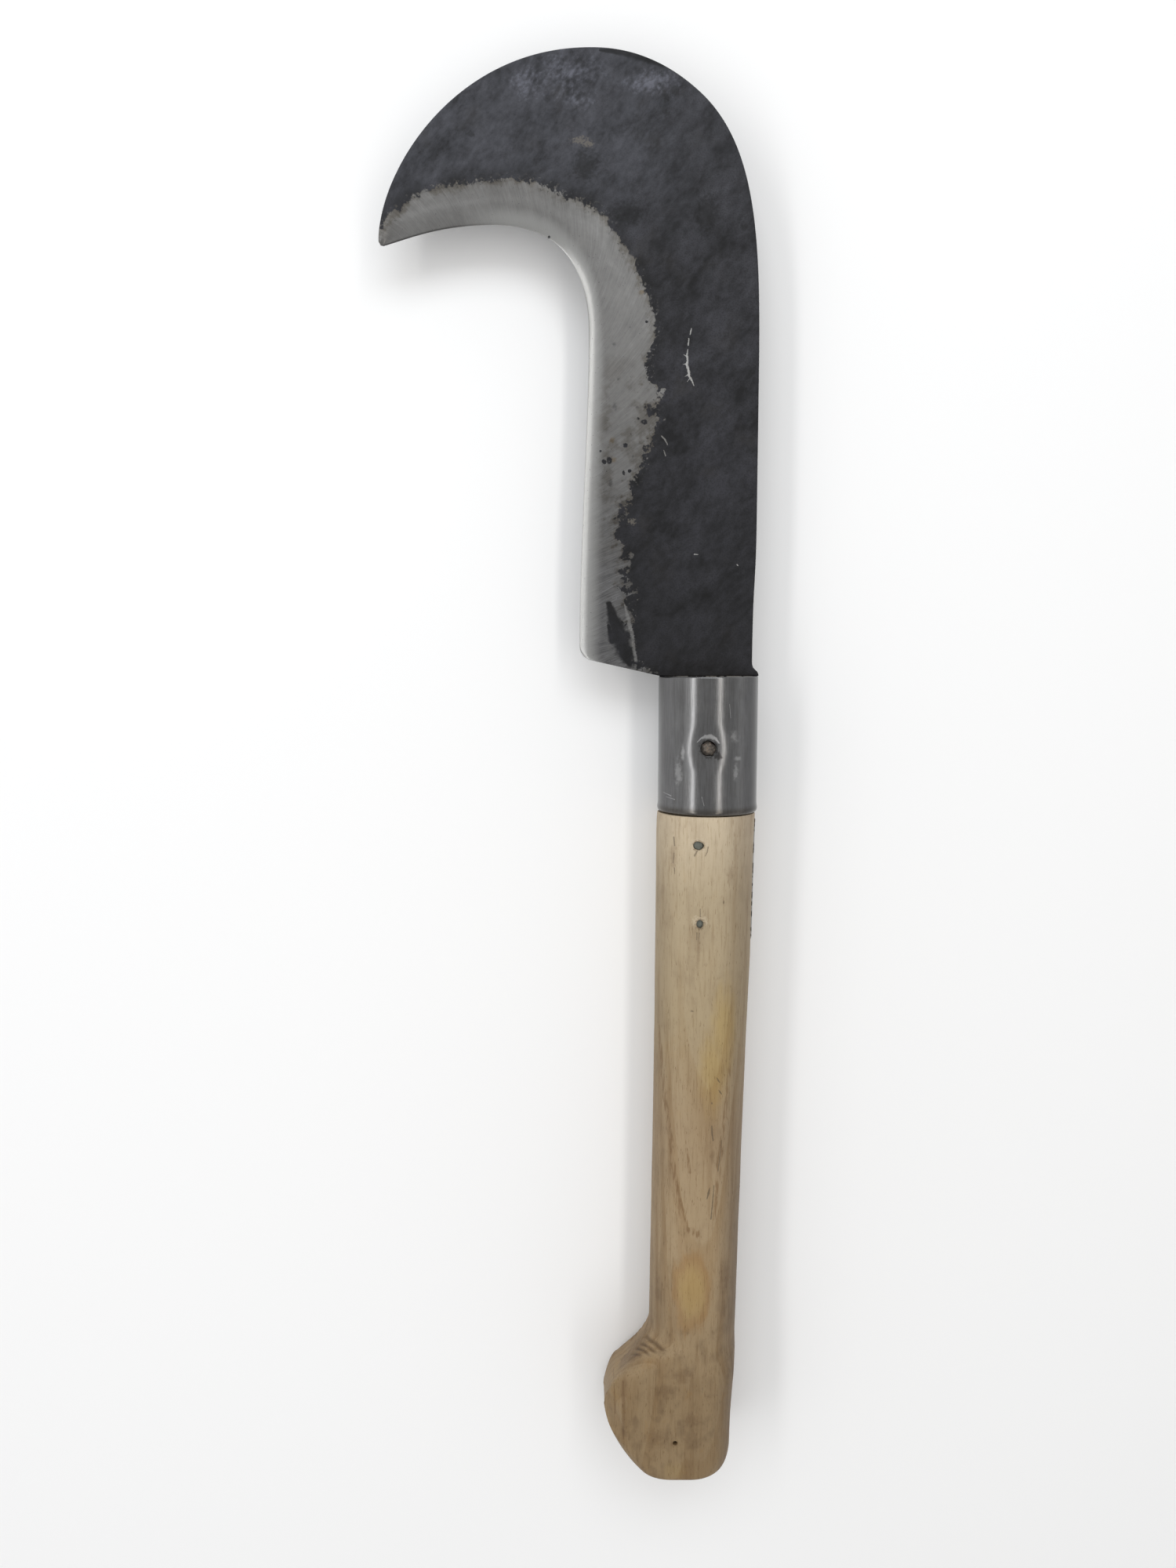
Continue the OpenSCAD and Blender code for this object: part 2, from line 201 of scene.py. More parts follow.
def edge_path():
    """The cutting edge, from the middle of the heel's corner to the tip."""
    run = THROAT_SIDE[1] - HEEL_MID[1]
    side = (THROAT_SIDE[0] - THROAT_TOP[0], THROAT_SIDE[1] - THROAT_TOP[1])
    tip_under = along(TIP_MID, TIP_SLOPE - 90, TIP_R)
    under = THROAT_TOP[0] - tip_under[0]
    k = FINER
    return (
        arc(HEEL_MID, HEEL_R, HEEL_TURN, 180, 3 * k)
        + curve((HEEL_X, HEEL_MID[1]), (HEEL_X, HEEL_MID[1] + 0.316 * run),
                (THROAT_SIDE[0], THROAT_SIDE[1] - 0.206 * run), THROAT_SIDE, 23 * k)
        + curve(THROAT_SIDE, (THROAT_SIDE[0], THROAT_SIDE[1] - 0.21 * side[1]),
                (THROAT_TOP[0] + 1.077 * side[0], THROAT_TOP[1]), THROAT_TOP, 20 * k)
        + curve(THROAT_TOP, (THROAT_TOP[0] - 0.47 * under, THROAT_TOP[1]),
                along(tip_under, TIP_SLOPE, 0.26 * under), tip_under, 18 * k)
        + arc(TIP_MID, TIP_R, 270 + TIP_SLOPE, TIP_TURN, 3 * k))


def back_path():
    """The back, from the ferrule's rim over the crown to the tip."""
    w = BACK_X - WAIST
    top = CROWN_Y - 102
    span = (CROWN[0] - TIP_MID[0] + TIP_R, CROWN[1] - TIP_MID[1])
    k = FINER
    return (
        curve((TUBE_R, 0), (TUBE_R, 2.4), (w, 1.6), (w, 5), 4 * k)
        + curve((w, 5), (w, 34), (BACK_X, 29), (BACK_X, WAIST_TOP), 8 * k)
        + curve((BACK_X, WAIST_TOP), (BACK_X, WAIST_TOP + 10), (BACK_X, top - 10), (BACK_X, top), 8 * k)
        + curve((BACK_X, top), (BACK_X, top + 42.7), along(SHOULDER, SHOULDER_ANGLE, -24.9), SHOULDER,
                16 * k)
        + curve(SHOULDER, along(SHOULDER, SHOULDER_ANGLE, 20.6), (CROWN[0] + 5.3, CROWN_Y), CROWN, 7 * k)
        + curve(CROWN, (CROWN[0] - 0.648 * span[0], CROWN_Y),
                (TIP_MID[0] - TIP_R, TIP_MID[1] + 0.34 * span[1]), (TIP_MID[0] - TIP_R, TIP_MID[1]),
                21 * k)
        + arc(TIP_MID, TIP_R, 180, TIP_TURN, 3 * k))


def lower_y(x):
    """The lower end of the blade: heel's corner, sloping edge and seat on the ferrule."""
    slope = math.radians(HEEL_SLOPE)
    if x < HEEL_MID[0] - HEEL_R * math.sin(slope):
        return HEEL_MID[1] - math.sqrt(max(0.0, HEEL_R ** 2 - (x - HEEL_MID[0]) ** 2))
    if x < -TUBE_R:
        return HEEL_RISE + math.tan(slope) * (-TUBE_R - x)
    return 0.0


# Modelling by hand
def only(piece):
    """Make this piece the one that the operators act on."""
    bpy.ops.object.select_all(action="DESELECT")
    piece.select_set(True)
    bpy.context.view_layer.objects.active = piece
    return piece


def named(name):
    """Name the primitive that was just added."""
    piece = bpy.context.object
    piece.name = name
    piece.data.name = name
    return only(piece)


def mode(kind):
    bpy.ops.object.mode_set(mode=kind)


def lay(piece, spots):
    """Put every vertex of a piece at its spot in millimetres."""
    piece.data.vertices.foreach_set("co", [c * MM for spot in spots for c in spot])
    piece.data.update()


def spots_of(piece):
    """Where the vertices of a piece are, in millimetres."""
    return [v.co / MM for v in piece.data.vertices]


def carry(piece, name, values):
    """Keep a number at each vertex of a piece, for its material."""
    attribute = piece.data.attributes.new(name, "FLOAT", "POINT")
    attribute.data.foreach_set("value", values)


def close_up(piece, gap=1e-6):
    """Merge what lies on the same spot and turn all faces outwards."""
    only(piece)
    mode("EDIT")
    bpy.ops.mesh.select_all(action="SELECT")
    bpy.ops.mesh.remove_doubles(threshold=gap)
    bpy.ops.mesh.normals_make_consistent(inside=False)
    mode("OBJECT")


def apply_all(piece):
    """Apply the modifiers of a piece in their order."""
    only(piece)
    for modifier in list(piece.modifiers):
        bpy.ops.object.modifier_apply(modifier=modifier.name)


def cut(piece, cutter):
    """Take the cutter's shape out of a piece."""
    modifier = piece.modifiers.new("cut", "BOOLEAN")
    modifier.operation = "DIFFERENCE"
    modifier.solver = "EXACT"
    modifier.object = cutter
    apply_all(piece)
    bpy.data.objects.remove(cutter)


def turned(name, profile, steps, centre=(0.0, 0.0), tube=False):
    """Spin a profile of radius and height pairs round Z, or the closed one of a tube round Y."""
    x, y = centre
    bpy.ops.mesh.primitive_circle_add(vertices=len(profile), radius=MM)
    piece = named(name)
    lay(piece, [(r, h, 0.0) if tube else (x + r, y, h) for r, h in profile])
    mode("EDIT")
    bpy.ops.mesh.select_mode(type="EDGE")
    if not tube:
        bpy.ops.mesh.select_all(action="DESELECT")
        mode("OBJECT")
        for edge in piece.data.edges:
            edge.select = set(edge.vertices) == {0, len(profile) - 1}
        mode("EDIT")
        bpy.ops.mesh.delete(type="EDGE_FACE")
    bpy.ops.mesh.select_all(action="SELECT")
    bpy.ops.mesh.spin(
        steps=steps, angle=math.tau, center=(x * MM, y * MM, 0), axis=(0, 1, 0) if tube else (0, 0, 1))
    bpy.ops.mesh.select_mode(type="VERT")
    mode("OBJECT")
    close_up(piece)
    return piece


def rod(name, r, end, pin):
    """A plain round bar through both sides, where a pin goes."""
    return turned(name, [(0, -end), (r, -end), (r, end), (0, end)], 32, pin.xy)


def mirrored(half):
    """A whole profile out of its upper half."""
    return [(r, -h) for r, h in half[::-1]] + half


def ragged(cutter, middle, shape, seed, start=0.0):
    """Make a round cutter uneven about its middle, beyond this height."""
    mx, my = middle
    spots = []
    for p in spots_of(cutter):
        dx, dy = p.x - mx, p.y - my
        if abs(p.z) > start:
            swell = 1 + 0.16 * rough(dx, dy, 0, 1.4, seed)
            p = Vector((mx + dx * swell * shape[0], my + dy * swell * shape[1], p.z))
        spots.append(p)
    lay(cutter, spots)


def finish_piece(piece, node, material, angle=35):
    """Smooth a piece, dress it and let it stand for its construction node."""
    only(piece)
    bpy.ops.object.shade_smooth_by_angle(angle=math.radians(angle))
    piece.data.materials.clear()
    piece.data.materials.append(material)
    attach(piece, "root")
    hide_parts(node)


# How wide the ground bevel is along the edge: share of the way from heel to tip, width
GROUND_FRONT = (
    (0, 18.4), (0.08, 17.6), (0.13, 15), (0.155, 14.6), (0.17, 10.6), (0.19, 12.4), (0.21, 14.6),
    (0.235, 19), (0.275, 23.6), (0.3, 23.8), (0.33, 20.4), (0.355, 25), (0.41, 24.3), (0.47, 22.4),
    (0.51, 19), (0.56, 18.8), (0.615, 14), (0.65, 14.8), (0.69, 13.6), (0.77, 12.6), (0.83, 12.2),
    (0.87, 10), (0.93, 6.2), (1, 2.5))
GROUND_REAR = (
    (0, 15), (0.1, 18.5), (0.18, 17), (0.24, 21.5), (0.33, 24), (0.42, 20.5), (0.5, 21.5),
    (0.58, 16), (0.68, 14.5), (0.8, 12.5), (0.9, 8), (1, 2.5))

# Black scale left standing in the ground bevel: x, y, radii, turn in degrees
SCALE_LEFT = (
    (-29.9, 47.6, 2.0, 3.6, -20), (-28.7, 41.2, 1.1, 3.4, 0), (-26.4, 59.6, 1.8, 1.2, 0),
    (-20.5, 86.6, 1.1, 1.9, 20))
# The chip in the cheek
CHIP_LINE = ((-8.6, 107.0), (-8.3, 103.5), (-7.7, 100.8), (-7.1, 98.8))


def to_line(x, y, points):
    """Distance from x, y to a line through the points."""
    best = 1e9
    for (ax, ay), (bx, by) in zip(points, points[1:]):
        dx, dy = bx - ax, by - ay
        t = clamp01(((x - ax) * dx + (y - ay) * dy) / (dx * dx + dy * dy))
        best = min(best, math.hypot(x - ax - t * dx, y - ay - t * dy))
    return best


def to_patch(x, y, patch):
    """Distance inside an oval patch, negative outside it."""
    px, py, rx, ry, turn = patch
    if abs(x - px) > 14 or abs(y - py) > 14:
        return -9.0
    w = math.radians(turn)
    u = (x - px) * math.cos(w) + (y - py) * math.sin(w)
    v = -(x - px) * math.sin(w) + (y - py) * math.cos(w)
    return (1 - math.hypot(u / rx, v / ry)) * min(rx, ry)


def ground_depth(x, y, share, reach, front):
    """How far a point lies inside the ground metal, negative under the scale."""
    depth = lookup(share, GROUND_FRONT if front else GROUND_REAR) - reach
    if not front:
        depth += 1.6 * rough(x, y, 0, 6, 3.1)
    else:
        for patch in SCALE_LEFT:
            depth = min(depth, -2.2 * to_patch(x, y, patch))
    if x < -TUBE_R and share < 0.35:
        depth = max(depth, 2.8 * smooth((-TUBE_R - x) / 10) - 0.3 - 0.8 * (y - lower_y(x)))
    return depth


def forged(x, y, front):
    """Depth of the hammer's marks in the cheek."""
    seed = 0.0 if front else 7.3
    broad = 0.09 * max(0.0, rough(x, y, 0, 11, seed + 1.7) + 0.2)
    small = 0.05 * max(0.0, rough(x + 0.7 * y, y - 0.7 * x, 0, 4.5, seed + 4.2))
    return broad + small


def smooth_least(a, b, k):
    """The lesser of two numbers, with a soft corner k wide."""
    h = max(k - abs(a - b), 0.0) / k
    return min(a, b) - h * h * k / 4


def make_blade():
    """The forging: cheeks, ground bevel, honed strip and back, with the tang below."""
    edge = edge_path()
    back = back_path()
    ribs = len(edge)
    hone_steps, ease_steps, cheek_steps, round_steps = 8, 10, 86, 5
    rows = [(0, 0.0), (0, 0.93)] + [(i, 1.0) for i in range(1, ribs)] + [(ribs - 1, 0.0)]

    def stations(i):
        """Distance from the edge, half thickness and sideways rounding across one rib."""
        share = i / (ribs - 1)
        length = math.dist(edge[i], back[i])
        thick = lookup(share, ((0, SPINE_T), (0.7, NOSE_T), (1, TIP_T)))
        tight = min(1.0, 0.25 * length / HONE_W)
        near, far = HONE_W * tight, 3.3 * HONE_W * tight
        grind = min(mix(GRIND_W, NOSE_GRIND_W, smooth((share - 0.4) / 0.25)), 0.62 * length)
        bend = min(BACK_ROUND, 0.1 * length)

        def height(d):
            """Half thickness of the ground metal: a steep strip that eases into the bevel."""
            steep = mix(HONE_SLOPE, 0.15, smooth((share - 0.5) / 0.2)) * min(1.0, thick / NOSE_T)
            ease = HONE_EASE * tight
            flat = 0.45 * near
            rest = (thick / 2 - EDGE_T / 2 - steep * (flat + ease)) / max(grind - flat - ease, 1e-6)
            past = max(0.0, d - flat)
            softened = ease * (1 - math.exp(-past / ease))
            return EDGE_T / 2 + steep * min(d, flat) + rest * past + (steep - rest) * softened

        half = [(d, height(d) - 0.06 * math.exp(-d / 0.06)) for d in [0.0] + evenly(0, near, hone_steps)]
        for d in evenly(near, far, ease_steps) + evenly(far, length - bend, cheek_steps):
            half.append((d, smooth_least(height(d), thick / 2, 0.14)))
        for w in evenly(0, math.pi / 2, round_steps):
            half.append((length - bend + bend * math.sin(w), thick / 2 - bend + bend * math.cos(w)))
        return share, length, half

    columns = 2 * (hone_steps + 1 + ease_steps + cheek_steps + round_steps) + 2
    bpy.ops.mesh.primitive_grid_add(x_subdivisions=columns, y_subdivisions=len(rows) - 1, size=MM)
    piece = named("blade_forging")
    low_x, base_x = edge[0][0], back[0][0]
    low_y_end, base_y = edge[0][1], back[0][1]
    spots, ground, sweep, reach = [], [], [], []
    run = 0.0
    for number, (i, squeeze) in enumerate(rows):
        if i and rows[number - 1][0] != i:
            run += math.dist(edge[i], edge[i - 1])
        share, length, half = stations(i)
        drop_share = clamp01(1 - 3 * share)

        def spot(d, z, front):
            v = d / length
            x = mix(edge[i][0], back[i][0], v)
            y = mix(edge[i][1], back[i][1], v)
            if 0 < v < 1:
                flat_x = mix(low_x, base_x, v)
                y += drop_share * (lower_y(flat_x) - mix(low_y_end, base_y, v))
            depth = ground_depth(x, y, share, d, front)
            body = smooth((length - d) / 3) * smooth(-depth / 1.5) * smooth((y - 1) / 4)
            hollow = forged(x, y, front) * body
            hollow += 0.07 * smooth(depth + 0.5) * smooth((8 - depth) / 4) * smooth((d - 5) / 3)
            if front:
                hollow += 0.18 * smooth(1 - to_line(x, y, CHIP_LINE) / 0.8)
            z = math.copysign(max(abs(z) - hollow * (abs(z) > 0.6), 0.1), z) * squeeze
            spots.append((x, y, z))
            ground.append(depth)
            sweep.append(run)
            reach.append(d)

        for d, z in half:
            spot(d, z, True)
        side = half[-1][1]
        for t in (1 / 3, 2 / 3):
            spot(length, side * (1 - 2 * t), t < 0.5)
        for d, z in reversed(half):
            spot(d, -z, False)
        spot(half[0][0], half[0][1], True)
    lay(piece, spots)
    for name, values in (("ground", ground), ("sweep", sweep), ("reach", reach)):
        carry(piece, name, values)
    close_up(piece)
    tang = make_tang()
    only(tang)
    piece.select_set(True)
    bpy.context.view_layer.objects.active = piece
    bpy.ops.object.join()
    return piece


def make_tang():
    """The flat strap that runs down inside the ferrule and the handle."""
    step_y = RIM_Y - 0.6
    ys = [3.0, 0.0] + evenly(0, step_y, 4) + [step_y - 1.8]
    ys += evenly(step_y - 1.8, TANG_END_Y + 5, 16) + [TANG_END_Y + 2, TANG_END_Y]
    bore_x = math.sqrt(BORE_R ** 2 - TANG_T ** 2 / 4) - 0.15
    outer = [bore_x if y >= step_y else wood_back_x(y) + TANG_PROUD for y in ys[:-2]]
    outer += [wood_back_x(TANG_END_Y) - 1, wood_back_x(TANG_END_Y) - 3]
    inner = [-lookup(-y, ((-RIM_Y, TANG_IN), (-TANG_END_Y - 6, TANG_IN - 1.5), (-TANG_END_Y, TANG_IN - 6)))
             for y in ys]
    bpy.ops.mesh.primitive_cube_add(size=2 * MM)
    piece = named("tang")
    mesh = piece.data
    for e in mesh.edges:
        a, b = (mesh.vertices[k].co for k in e.vertices)
        e.select = abs(a.y - b.y) > MM
    mode("EDIT")
    bpy.ops.mesh.select_mode(type="EDGE")
    bpy.ops.mesh.subdivide(number_cuts=len(ys) - 2)
    bpy.ops.mesh.select_mode(type="VERT")
    mode("OBJECT")
    spots = []
    for v in mesh.vertices:
        row = round((1 - v.co.y / MM) / 2 * (len(ys) - 1))
        x = outer[row] if v.co.x > 0 else inner[row]
        spots.append((x, ys[row], math.copysign(TANG_T / 2, v.co.z)))
    lay(piece, spots)
    bevel = piece.modifiers.new("edges", "BEVEL")
    bevel.width = 0.35 * MM
    bevel.segments = 3
    bevel.limit_method = "ANGLE"
    apply_all(piece)
    for pin, r in ((HEAD_PIN, HEAD_HOLE_R), (UPPER_PIN, WIRE_HOLE_R), (LOWER_PIN, WIRE_HOLE_R)):
        cut(piece, rod("hole", r, 6, pin))
    return piece


# The handle's outline, as pairs of height and side
def swap(path):
    return sorted((y, x) for x, y in path)


def belly_curve():
    k, y, b, r, low_y = -KNOB_BELLY, KNOB_TOP_Y, -NECK_BELLY, TUBE_R, RIM_Y
    turn = (k + 4.85, y - 13.6)
    low = (k + 12.65, BUTT_Y + 2.7)
    side = (k, BUTT_Y + 22.8)
    n = FINER
    return swap(
        curve((-r - 0.2, low_y), (-r - 0.4, low_y - 3), (-r - 0.6, low_y - 6), (-r - 0.6, low_y - 10), n)
        + curve((-r - 0.6, low_y - 10), (-r - 0.6, low_y - 60), (b + 1, y + 60), (b + 0.05, y + 4), 5 * n)
        + curve((b + 0.05, y + 4), (b, y + 0.5), along(turn, 42, 7.3), turn, 6 * n)
        + curve(turn, along(turn, 222, 4.6), (side[0], side[1] + 1), side, 4 * n)
        + curve(side, (side[0], side[1] - 6), along(low, -44, -8.3), low, 5 * n)
        + curve(low, along(low, -44, 2.5), (-15, BUTT_Y), (-13, BUTT_Y), 6 * n) + [(-13, BUTT_Y)])


def back_curve():
    n, r, low_y, top = NECK_BACK, TUBE_R, RIM_Y, KNOB_TOP_Y
    turn = (n - 2.05, BUTT_Y + 8.5)
    k = FINER
    return swap(
        curve((r - 0.45, low_y), (r - 0.9, low_y - 12), (r - 1.15, low_y - 32), (r - 1.3, low_y - 50),
              3 * k)
        + curve((r - 1.3, low_y - 50), (r - 3.2, low_y - 100), (n + 0.5, top + 18), (n, top - 5), 6 * k)
        + curve((n, top - 5), (n - 1, top - 15), (turn[0] + 0.2, turn[1] + 12), turn, 4 * k)
        + curve(turn, (turn[0] - 0.45, turn[1] - 6), (7.5, BUTT_Y), (4, BUTT_Y), 7 * k) + [(4, BUTT_Y)])


BELLY = belly_curve()
BACK = back_curve()


def belly_x(y):
    return lookup(y, BELLY)


def wood_back_x(y):
    return lookup(y, BACK)


def half_t(y):
    """Half thickness: round at the ferrule, slimmer at the grip, flat at the knob."""
    flat = mix(GRIP_T / 2, RIM_R, smooth((KNOB_TOP_Y + 4 - y) / 20))
    t = mix(TUBE_R - 0.1, flat, smooth((RIM_Y - y) / 60))
    d = max(0.0, BUTT_R - (y - BUTT_Y))
    return t - BUTT_R + math.sqrt(max(0.0, BUTT_R ** 2 - d * d))


def corner_radii(y):
    """Radii of the belly corner and of the back corner, across and through the wood."""
    full = ((wood_back_x(y) - belly_x(y)) / 2 - 0.2, half_t(y) - 0.2)
    share = smooth((KNOB_TOP_Y + 2 - y) / 16)
    belly = tuple(mix(full[j], min(KNOB_EDGE_R, full[j]), share) for j in (0, 1))
    return belly, tuple(mix(full[j], min(KNOB_BACK_R, full[j]), share) for j in (0, 1))


def section(y, counts):
    """The wood's section as evenly spaced points, from the back round by +Z."""
    left, right, t = belly_x(y), wood_back_x(y), half_t(y)
    (lx, lz), (rx, rz) = corner_radii(y)
    top_x = ((left + lx) + (right - rx)) / 2
    quarter = [0.0] + evenly(0, math.pi / 2, 24)
    upper_right = [(right, 0.0)] + [
        (right - rx + rx * math.cos(w), t - rz + rz * math.sin(w)) for w in quarter] + [(top_x, t)]
    upper_left = [(top_x, t)] + [
        (left + lx - lx * math.sin(w), t - lz + lz * math.cos(w)) for w in quarter] + [(left, 0.0)]

    def even(path, count):
        lengths = [0.0]
        for a, b in zip(path, path[1:]):
            lengths.append(lengths[-1] + math.dist(a, b))
        xs = list(zip(lengths, (p[0] for p in path)))
        zs = list(zip(lengths, (p[1] for p in path)))
        steps = [lengths[-1] * i / count for i in range(count)]
        return [(lookup(s, xs), lookup(s, zs)) for s in steps]

    back, belly = counts
    first = even(upper_right, back) + even(upper_left, belly)
    below = [(x, -z) for x, z in even(upper_left[::-1], belly) + even(upper_right[::-1], back)]
    return first + below


def lean(x, y, z):
    """How far the knob's shoulder leans towards the blade at this point."""
    reach = smooth((KNOB_TOP_Y + 3 - y) / 10) * smooth((y - BUTT_Y - 4) / 22)
    return KNOB_LEAN * reach * clamp01((4 - x) / 12) * z


# The run-out marks on the knob's shoulder: radius round the neck, first and last angle
NECK_MIDDLE_X = -3.5
RUNOUT_MARKS = ((17.7, 12, 58), (19.4, 14, 51), (21.0, 12, 46), (22.6, 14, 37))


def runout(x, y, z):
    """Strength of the run-out grooves, 0 to 1."""
    if not KNOB_TOP_Y - 16 < y < KNOB_TOP_Y + 6:
        return 0.0
    dx = NECK_MIDDLE_X - x
    r = math.hypot(dx, z) + 0.5 * rough(x, y, z, 5, 2.2)
    turn = math.degrees(math.atan2(abs(z), dx))
    strength = 0.0
    for radius, first, last in RUNOUT_MARKS:
        reach = smooth((turn - first) / 7) * smooth((last - turn) / 12)
        strength = max(strength, reach * smooth(1 - abs(r - radius) / 0.7))
    return strength * smooth((RIM_R - 0.15 - abs(z)) / 0.7)


def carved(x, y, z, left):
    """New height of a point of the knob after the carver's flat along its belly."""
    side = max(0.0, left + 5.8 + 0.5 * rough(x, y, 0, 14, 5.0) - x)
    reach = smooth((KNOB_TOP_Y - 7 - y) / 16) * smooth((y - BUTT_Y - 10) / 12)
    return math.copysign(min(abs(z), RIM_R - 1.2 * reach * side), z)


def soften_shoulder(piece):
    """Round off the edges between the knob's shoulder, its cheeks and the neck."""
    only(piece)
    mode("EDIT")
    bpy.ops.mesh.select_all(action="DESELECT")
    mode("OBJECT")
    for v in piece.data.vertices:
        p = v.co / MM
        v.select = p.x < 4 and KNOB_TOP_Y - 18 < p.y < KNOB_TOP_Y + 4.5
    mode("EDIT")
    bpy.ops.mesh.vertices_smooth(factor=0.5, repeat=90)
    mode("OBJECT")


def make_handle():
    """One piece of wood: tenon, grip and knob, with the slot and the pins' holes."""
    counts = (46, 80)
    around = 2 * sum(counts)
    levels = [(-0.4, 0.0), (-0.4, 0.5), (-0.4, 0.97), (-0.8, 1.0)]
    levels += [(y, 1.0) for y in evenly(-0.8, RIM_Y + 0.1, 5)]
    tenons = len(levels)
    levels += [(RIM_Y, 0.94), (RIM_Y, 0.985), (RIM_Y - 0.4, 1.0)]
    fine_top, fine_end = KNOB_TOP_Y + 5, KNOB_TOP_Y - 19
    ys = evenly(RIM_Y - 0.4, fine_top, 150) + evenly(fine_top, fine_end, 76)
    ys += evenly(fine_end, BUTT_Y + 10, 22)
    ys += [BUTT_Y + 10 * (1 - math.sin(w)) for w in evenly(0, math.pi / 2, 26)]
    levels += [(y, 1.0) for y in ys]
    levels += [(BUTT_Y, 0.6), (BUTT_Y, 0.0)]
    rings = len(levels) - 1
    bpy.ops.mesh.primitive_uv_sphere_add(segments=around, ring_count=rings, radius=MM)
    piece = named("carved_handle")
    quarters = (counts[0], counts[1], counts[1], counts[0])
    turns = [math.pi / 2 * (q + i / count) for q, count in enumerate(quarters) for i in range(count)]
    table = []
    for number, (y, size) in enumerate(levels):
        if number < tenons:
            ring = [(TENON_R * math.cos(w), y, TENON_R * math.sin(w)) for w in turns]
            middle = 0.0
        else:
            middle, left = (belly_x(y) + wood_back_x(y)) / 2, belly_x(y)
            ring = [(x, y + lean(x, y, z), carved(x, y, z, left)) for x, z in section(y, counts)]
        table.append([(mix(middle, x, size), mix(y, h, size), size * z) for x, h, z in ring])
    spots = []
    for v in piece.data.vertices:
        ring = round(math.acos(2 * clamp01(v.co.z / MM / 2 + 0.5) - 1) / math.pi * rings)
        step = round(math.atan2(v.co.y, v.co.x) / math.tau * around) % around
        spots.append(table[ring][step])
    lay(piece, spots)
    close_up(piece, 1e-7)
    soften_shoulder(piece)
    shaved, marks = [], []
    for v in piece.data.vertices:
        p = v.co / MM
        groove = runout(p.x, p.y, p.z)
        wave = 0.1 + 0.1 * rough(p.x, p.y, p.z, 16, 1.3)
        deep = wave * smooth((RIM_Y - 1 - p.y) / 8) * smooth((p.y - BUTT_Y) / 5) + 0.4 * groove
        shaved.append(p - v.normal * deep)
        marks.append(groove)
    lay(piece, shaved)
    carry(piece, "runout", marks)
    bpy.ops.mesh.primitive_cube_add(size=MM)
    slot = named("slot")
    xs = (-TANG_IN - SLOT_GAP, 30.0)
    ys = (TANG_END_Y - SLOT_GAP, 3.0)
    lay(slot, [(xs[v.co.x > 0], ys[v.co.y > 0], math.copysign(TANG_T / 2 + SLOT_GAP, v.co.z))
               for v in slot.data.vertices])
    cut(piece, slot)
    for pin, top, shape in (
            (UPPER_PIN, upper_high.z, (1.0, 0.8)), (LOWER_PIN, lower_high.z, (0.62, 0.85))):
        half = [(WIRE_HOLE_R, top - 0.22), (1.75, top - 0.1), (1.9, 22), (0, 22)]
        bore = turned("bore", mirrored(half), 32, pin.xy)
        ragged(bore, pin.xy, shape, pin.y, top - 0.15)
        cut(piece, bore)
    nail = turned("nail", [(0, 9), (0.8, 9), (0.9, 16.4), (1.15, 19), (0, 19)], 20, NAIL_HOLE)
    ragged(nail, NAIL_HOLE, (0.9, 0.85), 8.0)
    cut(piece, nail)
    cut(piece, rod("ferrule_bore", HEAD_HOLE_R, 30, HEAD_PIN))
    return piece


def dent(x, y):
    """How deep the tube is knocked in at this place."""
    r = math.hypot(x - HEAD_PIN.x, y - HEAD_PIN.y)
    return DENT_DEPTH * clamp01(1 - (r / DENT_R) ** 2) ** 2


def make_ferrule():
    """The tube, with its rounded lower rim and the dents round the pin."""
    rim = (
        (1.5, 0.02), (1.0, 0.15), (0.5, 0.5), (0.18, 1.0), (0.03, 1.5), (0.02, 2.0), (0.12, 2.6),
        (0.22, 3.4))
    outer = [(RIM_R - inwards, RIM_Y + up) for inwards, up in rim]
    outer += [(TUBE_R, y) for y in [RIM_Y + 4.2] + evenly(RIM_Y + 4.2, -0.5, 72)]
    outer += [(TUBE_R - 0.08, -0.25), (TUBE_R - 0.25, -0.08), (TUBE_R - 0.5, 0.0)]
    inner = [(BORE_R + 0.2, 0.0), (BORE_R, -0.2)]
    inner += [(BORE_R, y) for y in evenly(-0.2, RIM_Y + 0.3, 8)] + [(BORE_R + 0.1, RIM_Y)]
    piece = turned("tube_ferrule", outer + inner, 200, tube=True)
    spots = []
    for p in spots_of(piece):
        sunk = dent(p.x, p.y)
        wave = 0.03 * rough(p.x, p.y, p.z, 9, 6.0) if -44 < p.y < -1 else 0.0
        z = p.z - math.copysign(sunk, p.z) * (abs(p.z) > 5)
        r = math.hypot(p.x, z)
        spots.append((p.x * (1 - max(0, wave) / r), p.y, z * (1 - max(0, wave) / r)))
    lay(piece, spots)
    cut(piece, rod("pin_hole", HEAD_HOLE_R, 30, HEAD_PIN))
    for side in (1, -1):
        floor = side * (HEAD_SEAT - 0.02)
        pocket = [(0, floor), (3.0, floor), (3.1, side * 22), (0, side * 22)]
        cutter = turned("pocket", pocket, 48, HEAD_PIN.xy)
        ragged(cutter, HEAD_PIN.xy, (1.0, 1.0), 5.0 + side)
        cut(piece, cutter)
    return piece


